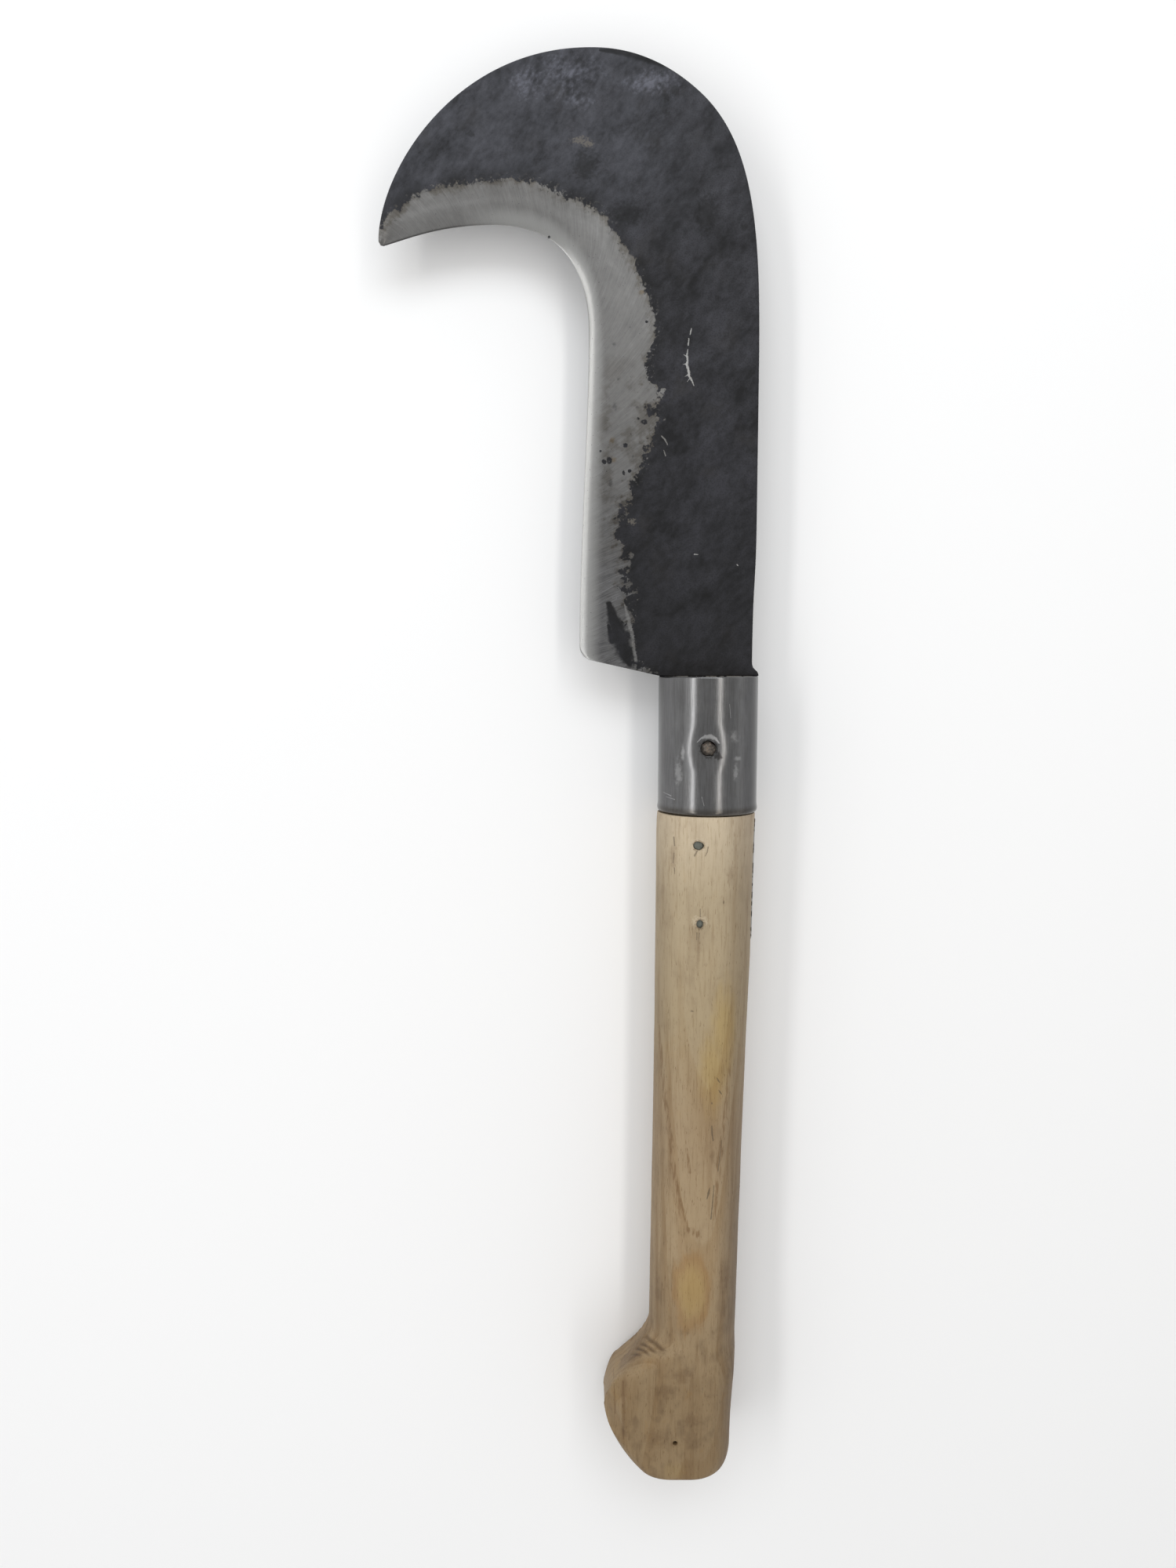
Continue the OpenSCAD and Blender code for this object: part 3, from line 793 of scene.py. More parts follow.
def make_ferrule_pin():
    """The pin across ferrule and tang, peened over unevenly at both ends."""
    top = TUBE_R - DENT_DEPTH + 0.22
    half = [(2.5, HEAD_SEAT), (2.55, HEAD_SEAT), (2.7, HEAD_SEAT + 0.18)]
    half += [(2.7, top - 0.4), (2.5, top - 0.15)]
    for w in (0.2, 0.45, 0.7, 0.95, 1.15, 1.3, 1.45):
        half.append((2.5 * math.cos(w), top - 0.15 + 0.1 * math.sin(w)))
    half.append((0, top - 0.05))
    piece = turned("peened_ferrule_pin", mirrored(half), 72, HEAD_PIN.xy)
    spots = []
    for p in spots_of(piece):
        dx, dy = p.x - HEAD_PIN.x, p.y - HEAD_PIN.y
        r = math.hypot(dx, dy)
        if abs(p.z) > HEAD_SEAT - 0.1 and r > 0.05:
            head = smooth((abs(p.z) - HEAD_SEAT) / 0.3)
            edge = smooth((r - 1.2) / 1.6)
            swell = 1 + (0.22 * rough(dx, dy, p.z, 1.5, 2.6) - 0.04) * edge
            z = abs(p.z) + head * (0.22 * rough(dx, dy, p.z, 1.1, 9.4) - 0.08)
            flat = mix(1.0, 0.86, head * edge)
            p = Vector((HEAD_PIN.x + dx * swell, HEAD_PIN.y + dy * swell * flat, math.copysign(z, p.z)))
        spots.append(p)
    lay(piece, spots)
    return piece


def make_handle_pin(name, pin, top):
    """A plain cut pin across the handle, its ends below the wood."""
    end = ((2.0, 0.6), (1.95, 0.3), (1.7, 0.12), (1.2, 0.04), (0.6, 0.01), (0, 0))
    piece = turned(name, mirrored([(r, top - under) for r, under in end]), 40, pin.xy)
    spots = []
    for p in spots_of(piece):
        lean = 0.07 * (p.x - pin.x) - 0.05 * (p.y - pin.y) + 0.08 * rough(p.x, p.y, 0, 1.2, pin.y)
        shift = (lean - 0.2) * (abs(p.z) > top - 1)
        spots.append((p.x, p.y, math.copysign(abs(p.z) + shift, p.z)))
    lay(piece, spots)
    return piece


# Shader trees
class Board:
    """A shader tree with short ways to put nodes on it and join them."""

    def __init__(self, tree):
        self.tree = tree

    def feed(self, node, feeds):
        """Join outputs to a node's sockets, or set the sockets' own values."""
        for socket, value in feeds.items():
            target = node.inputs[socket]
            if isinstance(value, Value):
                self.tree.links.new(value.socket, target)
            elif isinstance(value, tuple) and len(target.default_value) == 4:
                target.default_value = (*value, 1.0)
            else:
                target.default_value = value

    def put(self, kind, feeds, **settings):
        """Put a node on the tree, set it and feed it."""
        node = self.tree.nodes.new("ShaderNode" + kind)
        for name, value in settings.items():
            setattr(node, name, value)
        self.feed(node, feeds)
        return node

    def run(self, kind, feeds, output=0, **settings):
        """Put a node and give back one of its outputs."""
        return Value(self, self.put(kind, feeds, **settings).outputs[output])

    def math(self, kind, a, b, clamp=False):
        return self.run("Math", {0: a, 1: b}, operation=kind, use_clamp=clamp)

    def vector(self, kind, a, b, output=0):
        return self.run("VectorMath", {0: a, 1: b}, output, operation=kind)

    def place(self):
        """Where a point of the piece is, in metres."""
        return self.run("TexCoord", {}, "Object")

    def value_of(self, name):
        """A number that the piece carries at each of its points."""
        return self.run("Attribute", {}, "Fac", attribute_name=name)


class Value:
    """A node's output: a number, a place or a colour, and what can be made of it."""

    def __init__(self, board, socket):
        self.board = board
        self.socket = socket

    def __add__(self, other):
        return self.board.math("ADD", self, other)

    def __sub__(self, other):
        return self.board.math("SUBTRACT", self, other)

    def __rsub__(self, other):
        return self.board.math("SUBTRACT", other, self)

    def __mul__(self, other):
        return self.board.math("MULTIPLY", self, other)

    def span(self, low, high, start=0.0, end=1.0, kind="SMOOTHSTEP"):
        """Carry low to high over to start to end, softly where no other kind is asked for."""
        feeds = dict(enumerate((self, low, high, start, end)))
        return self.board.run("MapRange", feeds, interpolation_type=kind)

    def between(self, a, b):
        """Number a turns to number b as this goes from 0 to 1."""
        return self.board.run("Mix", {0: self, 2: a, 3: b}, data_type="FLOAT")

    def colours(self, a, b, kind="MIX"):
        """Colour a turns to colour b as this goes from 0 to 1."""
        return self.board.run("Mix", {0: self, 6: a, 7: b}, 2, data_type="RGBA", blend_type=kind)

    def blend(self, share, *colour):
        """Turn this colour to another one, by this share."""
        return share.colours(self, colour)

    def tint(self, share, *colour):
        """Multiply a colour into this one, by this share."""
        return share.colours(self, colour, "MULTIPLY")

    def ramp(self, stops):
        """Colours at their places along this number, which runs from 0 to 1."""
        colour = self.board.run("ValToRGB", {0: self})
        steps = colour.socket.node.color_ramp.elements
        while len(steps) < len(stops):
            steps.new(0.5)
        for step, (at, *mixed) in zip(steps, stops):
            step.position = at
            step.color = (*mixed, 1.0)
        return colour

    def split(self):
        """X, Y and Z of this place."""
        node = self.board.put("SeparateXYZ", {0: self})
        return [Value(self.board, output) for output in node.outputs]

    def length(self):
        return self.board.run("VectorMath", {0: self}, "Value", operation="LENGTH")

    def stretch(self, y_scale=1.0, turn=(0, 0, 0), move=(0, 0, 0)):
        """This place moved, turned by degrees and scaled along Y."""
        return self.board.run("Mapping", {
            "Vector": self, "Location": move, "Rotation": tuple(math.radians(a) for a in turn),
            "Scale": (1.0, y_scale, 1.0)})

    def noise(self, size, detail=3.0, harsh=0.5):
        """Noise from 0 to 1 with lumps of about this size in millimetres."""
        return self.board.run("TexNoise", {
            "Vector": self, "Scale": 1 / (size * MM), "Detail": detail, "Roughness": harsh})

    def lumps(self, size, strength, detail=3.0):
        """Noise round zero, for uneven borders."""
        return (self.noise(size, detail, 0.6) - 0.5) * (2.0 * strength)

    def group(self, tree, **feeds):
        """What a node group makes of this place."""
        named_feeds = {name.replace("_", " "): value for name, value in feeds.items()}
        return self.board.run("Group", {"Place": self, **named_feeds}, node_tree=tree)

    def mottle(self, coarse, fine, contrast):
        return self.group(MOTTLE, Coarse=coarse, Fine=fine, Contrast=contrast)

    def spots(self, marks, lumps=0.0, soft=0.5):
        """The strongest of several soft spots, each a middle and radii in millimetres."""
        top = 0.0
        for mark in marks:
            sizes = tuple(c * MM for c in mark)
            top = self.board.math("MAXIMUM", self.group(
                SPOT, Middle=sizes[:3], Radii=sizes[3:], Lumps=lumps, Softness=soft), top)
        return top

    def strokes(self, paths, lumps=0.0):
        """The strongest of several thin lines, each a run of x, y and half width in millimetres."""
        top = 0.0
        for path in paths:
            for (ax, ay, aw), (bx, by, bw) in zip(path, path[1:]):
                top = self.board.math("MAXIMUM", self.group(
                    FINE_LINE, Start=(ax * MM, ay * MM, 0), End=(bx * MM, by * MM, 0),
                    Start_Width=aw * MM, End_Width=bw * MM, Lumps=lumps), top)
        return top

    def bump(self, strength, distance):
        """The surface's normal when this is its height, for a distance in millimetres."""
        return self.board.run("Bump", {"Height": self, "Strength": strength, "Distance": distance * MM})


def most(top, *others):
    """The greatest of several numbers."""
    for other in others:
        top = top.board.math("MAXIMUM", top, other)
    return top


def new_group(name, inputs, work):
    """A node group with a place and other inputs, which gives what work makes of them."""
    tree = bpy.data.node_groups.new(name, "ShaderNodeTree")
    for title, value in inputs.items():
        kind = "NodeSocketVector" if isinstance(value, tuple) else "NodeSocketFloat"
        tree.interface.new_socket(title, in_out="INPUT", socket_type=kind).default_value = value
    tree.interface.new_socket("Value", in_out="OUTPUT", socket_type="NodeSocketFloat")
    board = Board(tree)
    source = tree.nodes.new("NodeGroupInput")
    target = tree.nodes.new("NodeGroupOutput")
    result = work(board, *(Value(board, source.outputs[title]) for title in inputs))
    tree.links.new(result.socket, target.inputs[0])
    return tree


def soft_spot(board, place, middle, radii, lumps, softness):
    """A soft oval patch with an uneven border, 1 in the middle and 0 outside."""
    share = board.vector("DIVIDE", board.vector("SUBTRACT", place, middle), radii)
    return (share.length() + lumps).span(1.0, 1.0 - softness)


def fine_line(board, place, start, end, start_width, end_width, lumps):
    """A thin line between two points seen from above, 1 on it and 0 beside it."""
    flat = (1.0, 1.0, 0.0)
    ahead = board.vector("MULTIPLY", board.vector("SUBTRACT", end, start), flat)
    away = board.vector("MULTIPLY", board.vector("SUBTRACT", place, start), flat)
    products = [board.vector("DOT_PRODUCT", first, ahead, "Value") for first in (away, ahead)]
    share = board.math("DIVIDE", *products, clamp=True)
    foot = board.run("VectorMath", {0: ahead, "Scale": share}, operation="SCALE")
    distance = board.vector("SUBTRACT", away, foot).length()
    width = share.between(start_width, end_width) * (lumps + 1.0)
    return distance.span(width, width * 0.4)


def two_lumps(board, place, coarse, fine, contrast):
    """Two sizes of soft lumps laid over each other, 0 to 1."""
    broad, small = (
        board.run("TexNoise", {"Vector": place, "Scale": scale, "Detail": 4.0, "Distortion": warp})
        for scale, warp in ((coarse, 0.6), (fine, 0.2)))
    total = broad * 0.62 + small * 0.38
    return board.math("ADD", (total - 0.5) * contrast, 0.5, clamp=True)


def scratches(board, place, fineness, length):
    """Fine lines across the first axis of a place, 0 to 1."""
    scale = board.run("CombineXYZ", {0: fineness, 1: fineness * length, 2: fineness * length})
    drawn = board.vector("MULTIPLY", place, scale)
    lines = board.run("TexNoise", {"Vector": drawn, "Scale": 1.0, "Detail": 5.0, "Roughness": 0.62})
    return lines.span(0.25, 0.75)


ORIGIN = (0.0, 0.0, 0.0)
SPOT = new_group("soft spot", {
    "Place": ORIGIN, "Middle": ORIGIN, "Radii": (0.01, 0.01, 0.01), "Lumps": 0.0,
    "Softness": 0.5}, soft_spot)
FINE_LINE = new_group("fine line", {
    "Place": ORIGIN, "Start": ORIGIN, "End": (0.01, 0.0, 0.0), "Start Width": 0.0003, "End Width": 0.0003,
    "Lumps": 0.0}, fine_line)
MOTTLE = new_group("mottle", {"Place": ORIGIN, "Coarse": 80.0, "Fine": 500.0, "Contrast": 1.0}, two_lumps)
SCRATCHES = new_group("scratches", {"Place": ORIGIN, "Fineness": 2500.0, "Length": 0.03}, scratches)


def new_material(name):
    """A material with one plain surface shader, and a board to wire it on."""
    material = bpy.data.materials.new(name)
    material.use_nodes = True
    material.node_tree.nodes.clear()
    board = Board(material.node_tree)
    shader = board.put("BsdfPrincipled", {})
    board.put("OutputMaterial", {"Surface": Value(board, shader.outputs[0])})
    return material, board, shader


# Marks in the blade's upper cheek, in millimetres: middle and radii, or runs of x, y, half width
BLACK_PITS = (
    (-20.5, 87.1, 1.9, 1, 1.4, 2), (-22.4, 83.8, 1.9, 0.9, 0.8, 2), (-28.5, 76.2, 1.9, 0.7, 0.8, 2),
    (-33.9, 71.4, 1.5, 0.8, 1.1, 2), (-35.6, 71, 1.5, 0.8, 0.7, 2), (-29.1, 67.4, 1.9, 0.45, 0.7, 2),
    (-27.1, 68, 1.9, 0.55, 0.5, 2), (-24.4, 84.9, 1.9, 0.45, 0.4, 2), (-36.8, 74.4, 1.3, 0.4, 0.4, 2),
    (-53.7, 142.9, 1.5, 0.5, 0.5, 2), (-19, 100.9, 1.9, 0.4, 0.5, 2), (-21.7, 115.8, 1.9, 0.5, 0.4, 2),
    (-85.2, 159.2, 1.5, 0.6, 0.5, 2))
GREY_PITS = (
    (-32.1, 88.9, 1.7, 1.3, 1.5, 2), (-24.7, 88.5, 1.9, 0.7, 0.6, 2), (-25.9, 72.7, 1.9, 0.6, 0.6, 2),
    (-33.6, 64.3, 1.6, 1, 1.6, 2), (-32.5, 108.9, 1.7, 0.9, 0.8, 2), (-30.9, 97.6, 1.7, 0.7, 0.7, 2))
BROWN_STAINS = (
    (-32.6, 71.6, 1.6, 1.8, 1.4, 2), (-32.9, 77.8, 1.6, 1.2, 1.6, 2), (-23, 125.2, 1.9, 2.2, 1.4, 2))
DUSTY = (
    (-43.4, 172.4, 2.1, 3.2, 1.5, 2), (-41, 171.4, 2.1, 2.4, 1.4, 2), (-26.3, 51.4, 1.9, 1.5, 1.3, 2))
# Pale clouds at the crown: partly oxide, partly painted sheen
OXIDE_AND_SHEEN = (
    (-46.5, 193.5, 2, 13, 8, 6), (-59.5, 190, 2, 9, 6, 6), (-20, 190, 2, 12, 5, 6), (-45, 186, 2, 8, 6, 6))
DARK_SCALE = (
    (-41.8, 164.5, 2, 6, 6.5, 4), (-15.7, 185.3, 2, 1.8, 1.8, 4), (-15.7, 180.5, 2, 1.5, 1.5, 4),
    (10.1, 145.4, 2, 1.6, 1.6, 4), (-78.9, 174.5, 2, 1.8, 1.6, 4), (1.4, 123.3, 2, 1.6, 1.4, 4),
    (-2, 150, 2, 5, 9, 4), (-28, 150, 2, 7, 5, 4))
HEEL_ISLAND = (
    ((-33.9, 24.2, 1.5), (-32.4, 19.4, 2.9), (-30.9, 15.1, 4.2), (-29.6, 11.2, 4.6), (-27.9, 6.6, 3.5),
    (-26.9, 4.2, 1.6)), ((-34, 17, 0.8), (-32.6, 12, 2)))
HEEL_GLEAM = (
    ((-28.6, 23.8, 0.3), (-27.6, 20, 0.8), (-26.3, 14.8, 0.9), (-25.4, 8.5, 0.8), (-24.8, 5.4, 0.8)),
    ((-16.6, 79.2, 0.25), (-15.5, 78.2, 0.35), (-14.6, 76.4, 0.25)), ((-15.8, 74.6, 0.2),
    (-15.2, 72.8, 0.25)))
THIN_BARE = (
    ((-8.1, 107, 0.2), (-8.4, 105.2, 0.45), (-8.2, 103.6, 0.4), (-8.4, 102, 0.6), (-7.8, 100.4, 0.55),
    (-7.6, 98.6, 0.6), (-6.6, 96.8, 0.35), (-6, 95.4, 0.15)), ((-7, 113.6, 0.2), (-7.4, 111.8, 0.3)),
    ((-7.8, 110.4, 0.25), (-8, 108.4, 0.3)), ((-8.4, 104.8, 0.25), (-9.5, 105.3, 0.1)),
    ((-8.3, 102.4, 0.25), (-9.6, 102.2, 0.1)), ((-7.7, 99, 0.25), (-9, 98.3, 0.1)), ((-7.4, 97.8, 0.2),
    (-8.2, 96.7, 0.1)), ((-5.3, 40.6, 0.25), (-4.2, 40.5, 0.2)), ((9, 37.2, 0.25), (9.3, 36.8, 0.2)))
# Painted dark reflection: a near-black band along the crown's rounded back
RIM_DARK_REFLECTION = (
    ((-37, 199.8, 0.6), (-30, 199.2, 1.5), (-23.4, 197.9, 2), (-16, 195.6, 1.7), (-10, 193, 0.8)),)
# The grinder's scratches: slant of their direction, and scale of the turned place
SCRATCH_SLANT = 0.55
SCRATCH_SCALE = 0.876 * MM


def forged_steel():
    """Black forge scale on the cheeks and bare ground steel along the edge."""
    material, board, shader = new_material("forged_steel")
    place = board.place()
    ground, sweep, reach = (board.value_of(name) for name in ("ground", "sweep", "reach"))
    x, y, z = place.split()
    front = z.span(0.0, 0.4 * MM)
    ragged = place.lumps(1.1, 0.9, 4.0)

    # Place along and across the scratches
    scored = board.run("CombineXYZ", {
        0: (sweep - reach * SCRATCH_SLANT) * SCRATCH_SCALE,
        1: (sweep * SCRATCH_SLANT + reach) * SCRATCH_SCALE, 2: 0.0})
    lines = scored.group(SCRATCHES, Fineness=2900.0, Length=0.06)
    bands = scored.group(SCRATCHES, Fineness=760.0, Length=0.1)
    heel = y.span(0.085, 0.02)

    # Where the grinder has gone through the scale
    low = y.span(0.108, 0.094)
    coarse = place.lumps(4.2, 3.4) * low.between(1.0, 2.6)
    fine = place.lumps(1.2, 1.9) * low.between(0.9, 1.15)
    hairs = (bands - 0.5) * 1.1
    depth = (ground + coarse) + (fine + hairs)
    through = depth.span(-0.35, 0.5)
    island = place.strokes(HEEL_ISLAND, place.lumps(1.6, 0.6, 4.0)) * front
    pits = place.spots(BLACK_PITS, ragged - 0.3, 0.45)
    flecks = place.noise(1.1).span(0.64, 0.72) * ground.span(4.0, 0.5)
    specks = place.noise(0.55, 1.0).span(0.73, 0.78) * 0.7
    bare = through * (1.0 - most(island, pits, flecks * 0.85, specks))
    torn = place.lumps(0.7, 1.5, 4.0)
    gleam = place.strokes(HEEL_GLEAM, place.lumps(0.7, 1.2, 4.0))
    thin = place.strokes(THIN_BARE, torn)
    worn = place.noise(1.1, 4.0, 0.6).span(0.56, 0.68) * ground.span(-3.0, -0.2)
    shown = most(most(thin, gleam) * front, worn * 0.6) * (1.0 - island)
    bare = most(bare, shown * 0.9)

    # Bare steel: grey, streaked, darker and stained towards the scale
    steel = place.mottle(110.0, 700.0, 1.6).colours((0.148, 0.146, 0.142), (0.215, 0.211, 0.204))
    streak = lines * 0.55 + bands * 0.45
    strength = heel.between(0.35, 1.0)
    steel = steel.tint(streak.span(0.62, 0.25) * strength, 0.66, 0.66, 0.67)
    steel = steel.blend(streak.span(0.62, 0.85) * strength * 0.35, 0.36, 0.36, 0.37)
    steel = steel.tint(heel, 0.84, 0.85, 0.88)
    soiled = place.noise(6.5, 4.0, 0.6).span(0.44, 0.62)
    soiled = soiled * (y.span(0.115, 0.085) * y.span(0.035, 0.06, 0.3))
    steel = steel.tint(soiled * 0.8, 0.64, 0.61, 0.57)
    steel = steel.tint(depth.span(3.4, 0.2) * place.noise(4.0).span(0.3, 0.6) * 0.75, 0.52, 0.47, 0.40)
    steel = steel.tint(place.spots(GREY_PITS, ragged, 0.8) * 0.7, 0.5, 0.5, 0.52)
    steel = steel.tint(place.spots(BROWN_STAINS, ragged, 0.9) * 0.7, 0.85, 0.68, 0.48)
    hone = (reach - heel * 1.3).span(HONE_W * 2.2, HONE_W * 0.5) * x.span(-0.086, -0.062)
    steel = steel.blend(hone * 0.75, 0.42, 0.42, 0.41)
    steel = steel.blend(thin * 0.65, 0.42, 0.42, 0.41)
    steel = steel.blend(gleam * 0.3, 0.38, 0.38, 0.37)
    # Painted shade: the last half millimetre of the nose's edge is darkened, in place of the dark
    # reflection of its bevel
    nose_edge_shade = reach.span(0.5, 0.15) * x.span(-0.07, -0.09)
    steel = steel.tint(nose_edge_shade * 0.8, 0.4, 0.4, 0.4)

    # Forge scale: near black with blue-grey and brownish lumps, painted darker towards the ferrule as
    # painted shade; the blue-grey clouds at the crown are partly oxide and partly painted sheen
    slanted = place.stretch(turn=(0, 0, 40)).stretch(0.6)
    lumps = slanted.mottle(120.0, 520.0, 3.4)
    grit = place.noise(0.5, 3.0, 0.6)
    scale = lumps.colours((0.0052, 0.0052, 0.0064), (0.030, 0.030, 0.037))
    scale = scale.tint(grit.span(0.55, 0.35), 0.6, 0.6, 0.6)
    scale = scale.blend(place.noise(14.0, 4.0).span(0.55, 0.75) * 0.35, 0.028, 0.025, 0.023)
    # Painted shade: the scale is painted darker towards the ferrule, in place of its sheen fading away from
    # the crown
    scale = scale.tint(y.span(0.09, 0.0), 0.6, 0.6, 0.6)
    brink = ground.span(-6.0, -1.0) * place.noise(8.0).span(0.3, 0.6)
    # Blue-grey clouds at the crown: partly oxide on the scale, partly painted sheen of the light above the
    # crown
    clouds = slanted.mottle(240.0, 900.0, 2.4)
    crown = y.span(0.13, 0.175) * x.span(0.0, -0.03, 0.35)
    oxide_and_sheen = place.spots(OXIDE_AND_SHEEN, ragged, 0.95)
    scale = scale.blend(crown * clouds.between(0.0, 0.62), 0.085, 0.089, 0.106)
    scale = scale.blend(oxide_and_sheen * clouds.span(0.2, 0.95) * 0.75, 0.15, 0.155, 0.19)
    scale = scale.tint(brink * 0.9, 0.42, 0.42, 0.42)
    scale = scale.tint(place.spots(DARK_SCALE, ragged, 0.7) * 0.85, 0.36, 0.36, 0.36)
    # Painted dark reflection along the crown's rounded back edge
    scale = scale.tint(place.strokes(RIM_DARK_REFLECTION, place.lumps(2.0, 0.4)) * 0.95, 0.15, 0.15, 0.16)
    scale = scale.blend(place.spots(DUSTY, place.lumps(0.7, 1.7, 4.0), 0.7) * 0.6, 0.145, 0.13, 0.11)

    colour = bare.colours(scale, steel)
    metal = bare * 0.95
    scaly = lumps.between(0.62, 0.46)
    polish = hone.between(lines.between(0.42, 0.34), 0.30)
    gloss = bare.between(scaly, polish)
    height = through.between(lumps + grit * 0.25, lines * 0.12 + bands * 0.08)
    board.feed(shader, {
        "Base Color": colour, "Metallic": metal, "Roughness": gloss, "Specular IOR Level": 0.26,
        "Normal": height.bump(0.55, 0.12)})
    return material


# Marks on the tube, in millimetres, and a pale arc above its pin
RUBBED = (
    (-10.8, -31.6, 13, 1.6, 6, 6), (-9.6, -25, 14, 0.9, 4, 6), (7.2, -19.8, 15, 2.2, 2.4, 6),
    (7.9, -31.6, 15, 1.3, 3.6, 6), (8.6, -27, 15, 1.8, 1, 6))
SCUFFS = (
    ((-15.6, -39, 0.12), (-13.2, -39.8, 0.25)), ((-14.6, -40.4, 0.12), (-12, -40.9, 0.2)),
    ((-3.4, -39.5, 0.1), (-2.6, -42.5, 0.12)), ((5.5, -9, 0.1), (5.9, -13.5, 0.1)))
PIN_CRESCENT = (tuple(
    (HEAD_PIN.x - 0.2 + 4.1 * math.cos(math.radians(w)), HEAD_PIN.y + 4.0 * math.sin(math.radians(w)), half)
    for w, half in ((150, 0.1), (125, 0.3), (102, 0.85), (78, 1.1), (52, 0.7), (25, 0.15))),)
PIN_DARK_PATCHES = (
    (HEAD_PIN.x, HEAD_PIN.y, 16, 3.8, 3.4, 4), (HEAD_PIN.x, HEAD_PIN.y, -16, 3.9, 3.6, 4),
    (HEAD_PIN.x + 3.2, HEAD_PIN.y - 2.7, 16, 1.6, 1.3, 4))


def tube_steel():
    """Plain drawn tube: satin grey, with rubbed patches, fine scratches and painted shade along its sides
    and lower rim.
    """
    material, board, shader = new_material("tube_steel")
    place = board.place()
    lines = place.stretch(0.05).noise(0.4, 4.0, 0.6)
    cloud = place.mottle(120.0, 600.0, 1.8)
    steel = cloud.colours((0.165, 0.165, 0.168), (0.215, 0.215, 0.215))
    steel = steel.tint(lines.span(0.4, 0.65), 0.82, 0.81, 0.80)
    ragged = place.lumps(1.6, 0.9, 4.0)
    rubbed = place.spots(RUBBED, ragged, 0.9)
    scuffs = place.strokes(SCUFFS, ragged)
    crescent = place.strokes(PIN_CRESCENT, place.lumps(1.0, 0.5))
    pale = most(rubbed * 0.5, scuffs * 0.6, crescent * 0.7)
    steel = steel.blend(pale, 0.46, 0.46, 0.46)
    # Darker round the pin's pocket, with a blot below it to the right
    dark_patches = place.spots(PIN_DARK_PATCHES, place.lumps(0.9, 0.9, 4.0), 0.4)
    steel = steel.tint(dark_patches * 0.85, 0.32, 0.31, 0.30)
    x, y = place.split()[:2]
    # Painted shade: a darker, browner band on the rounded lower rim, which faces away from the light
    rim = y.span((RIM_Y + 3.6) * MM, (RIM_Y + 1.6) * MM)
    steel = steel.tint(rim * 0.8, 0.55, 0.50, 0.44)
    # Painted shade: the tube is darker towards both sides and more so on the right, in place of dark
    # reflections along its flanks
    side = board.math("ABSOLUTE", x, 0.0).span(9 * MM, 16.5 * MM)
    steel = steel.tint(side * 0.9, 0.64, 0.64, 0.65)
    steel = steel.tint(x.span(8 * MM, 14 * MM) * 0.9, 0.52, 0.52, 0.53)
    board.feed(shader, {
        "Base Color": steel, "Metallic": 1.0, "Roughness": pale.between(cloud.between(0.19, 0.23), 0.45),
        "Normal": lines.bump(0.12, 0.03)})
    return material


def rusty_steel():
    """The hammered pin head: grey steel gone brown, black in its hollows."""
    material, board, shader = new_material("rusty_steel")
    place = board.place()
    lumps = place.mottle(500.0, 1900.0, 2.6)
    steel = lumps.colours((0.02, 0.018, 0.017), (0.23, 0.20, 0.17))
    rust = place.noise(1.3).span(0.45, 0.65)
    steel = steel.blend(rust * 0.55, 0.15, 0.095, 0.055)
    ends = tuple((HEAD_PIN.x, HEAD_PIN.y, height, 2.3, 2.0, 4) for height in (16, -16))
    core = place.spots(ends, place.lumps(1.0, 0.7, 4.0))
    steel = steel.tint(1.0 - core, 0.22, 0.21, 0.2)
    board.feed(shader, {
        "Base Color": steel, "Metallic": rust.between(0.7, 0.15), "Roughness": lumps.between(0.7, 0.42),
        "Normal": lumps.bump(0.9, 0.3)})
    return material


def wire_steel():
    """The cut ends of the handle's pins: dull grey with saw marks."""
    material, board, shader = new_material("wire_steel")
    marks = board.place().stretch(0.15, turn=(0, 0, 60)).noise(0.3)
    board.feed(shader, {
        "Base Color": marks.colours((0.09, 0.095, 0.08), (0.26, 0.27, 0.235)), "Metallic": 0.9,
        "Roughness": marks.between(0.55, 0.38), "Normal": marks.bump(0.4, 0.08)})
    return material


# Marks on the handle's upper side, in millimetres: middle and radii, or runs of x, y, half width
WOOD_FLECKS = (
    (-5.8, -112.4, 16, 0.9, 0.5, 4), (1.2, -144.5, 16, 0.4, 0.6, 4), (4.4, -75.2, 15, 0.35, 0.8, 4),
    (-4.4, -282, 14, 1.6, 1.2, 6))
WOOD_SOIL = (
    (-12.2, -60, 12, 1.5, 6.5, 6), (6.8, -66.1, 14, 1.8, 4, 6), (-4, -92, 16, 1, 8, 4),
    (-10.9, -268.1, 17, 2.6, 2, 4), (-7.9, -242.6, 17, 4.6, 4, 4), (-4.5, -259.1, 17, 4.2, 3.6, 4),
    (-14.1, -248.5, 17, 5, 4, 4), (6.5, -208, 14, 3.2, 9, 9), (-26, -237.5, 14, 5, 4, 9),
    (-17, -266, 17, 7, 5, 4), (1.5, -163.5, 16, 1.2, 4.5, 4))
WOOD_YELLOW = (
    (-5, -213, 16, 8.2, 17, 9), (5, -120, 14, 6.5, 24, 9), (1.8, -134, 16, 7.5, 19, 9),
    (-31, -250.5, 6, 3, 9, 14), (-11, -278, 16, 6, 5, 9))
SHOULDER_SHADE = ((-29.5, -237, 4, 13, 11, 16), (-24, -231, 4, 8, 8, 16))
PIN_HALO = ((-4, -55.8, 16, 3.6, 3.3, 4), (-3.6, -81.6, 16, 3.2, 2.6, 4))
PIN_MOUTHS = ((UPPER_PIN.x, UPPER_PIN.y, 16, 2.5, 2.1, 4), (LOWER_PIN.x, LOWER_PIN.y, 16, 1.9, 2.3, 4))
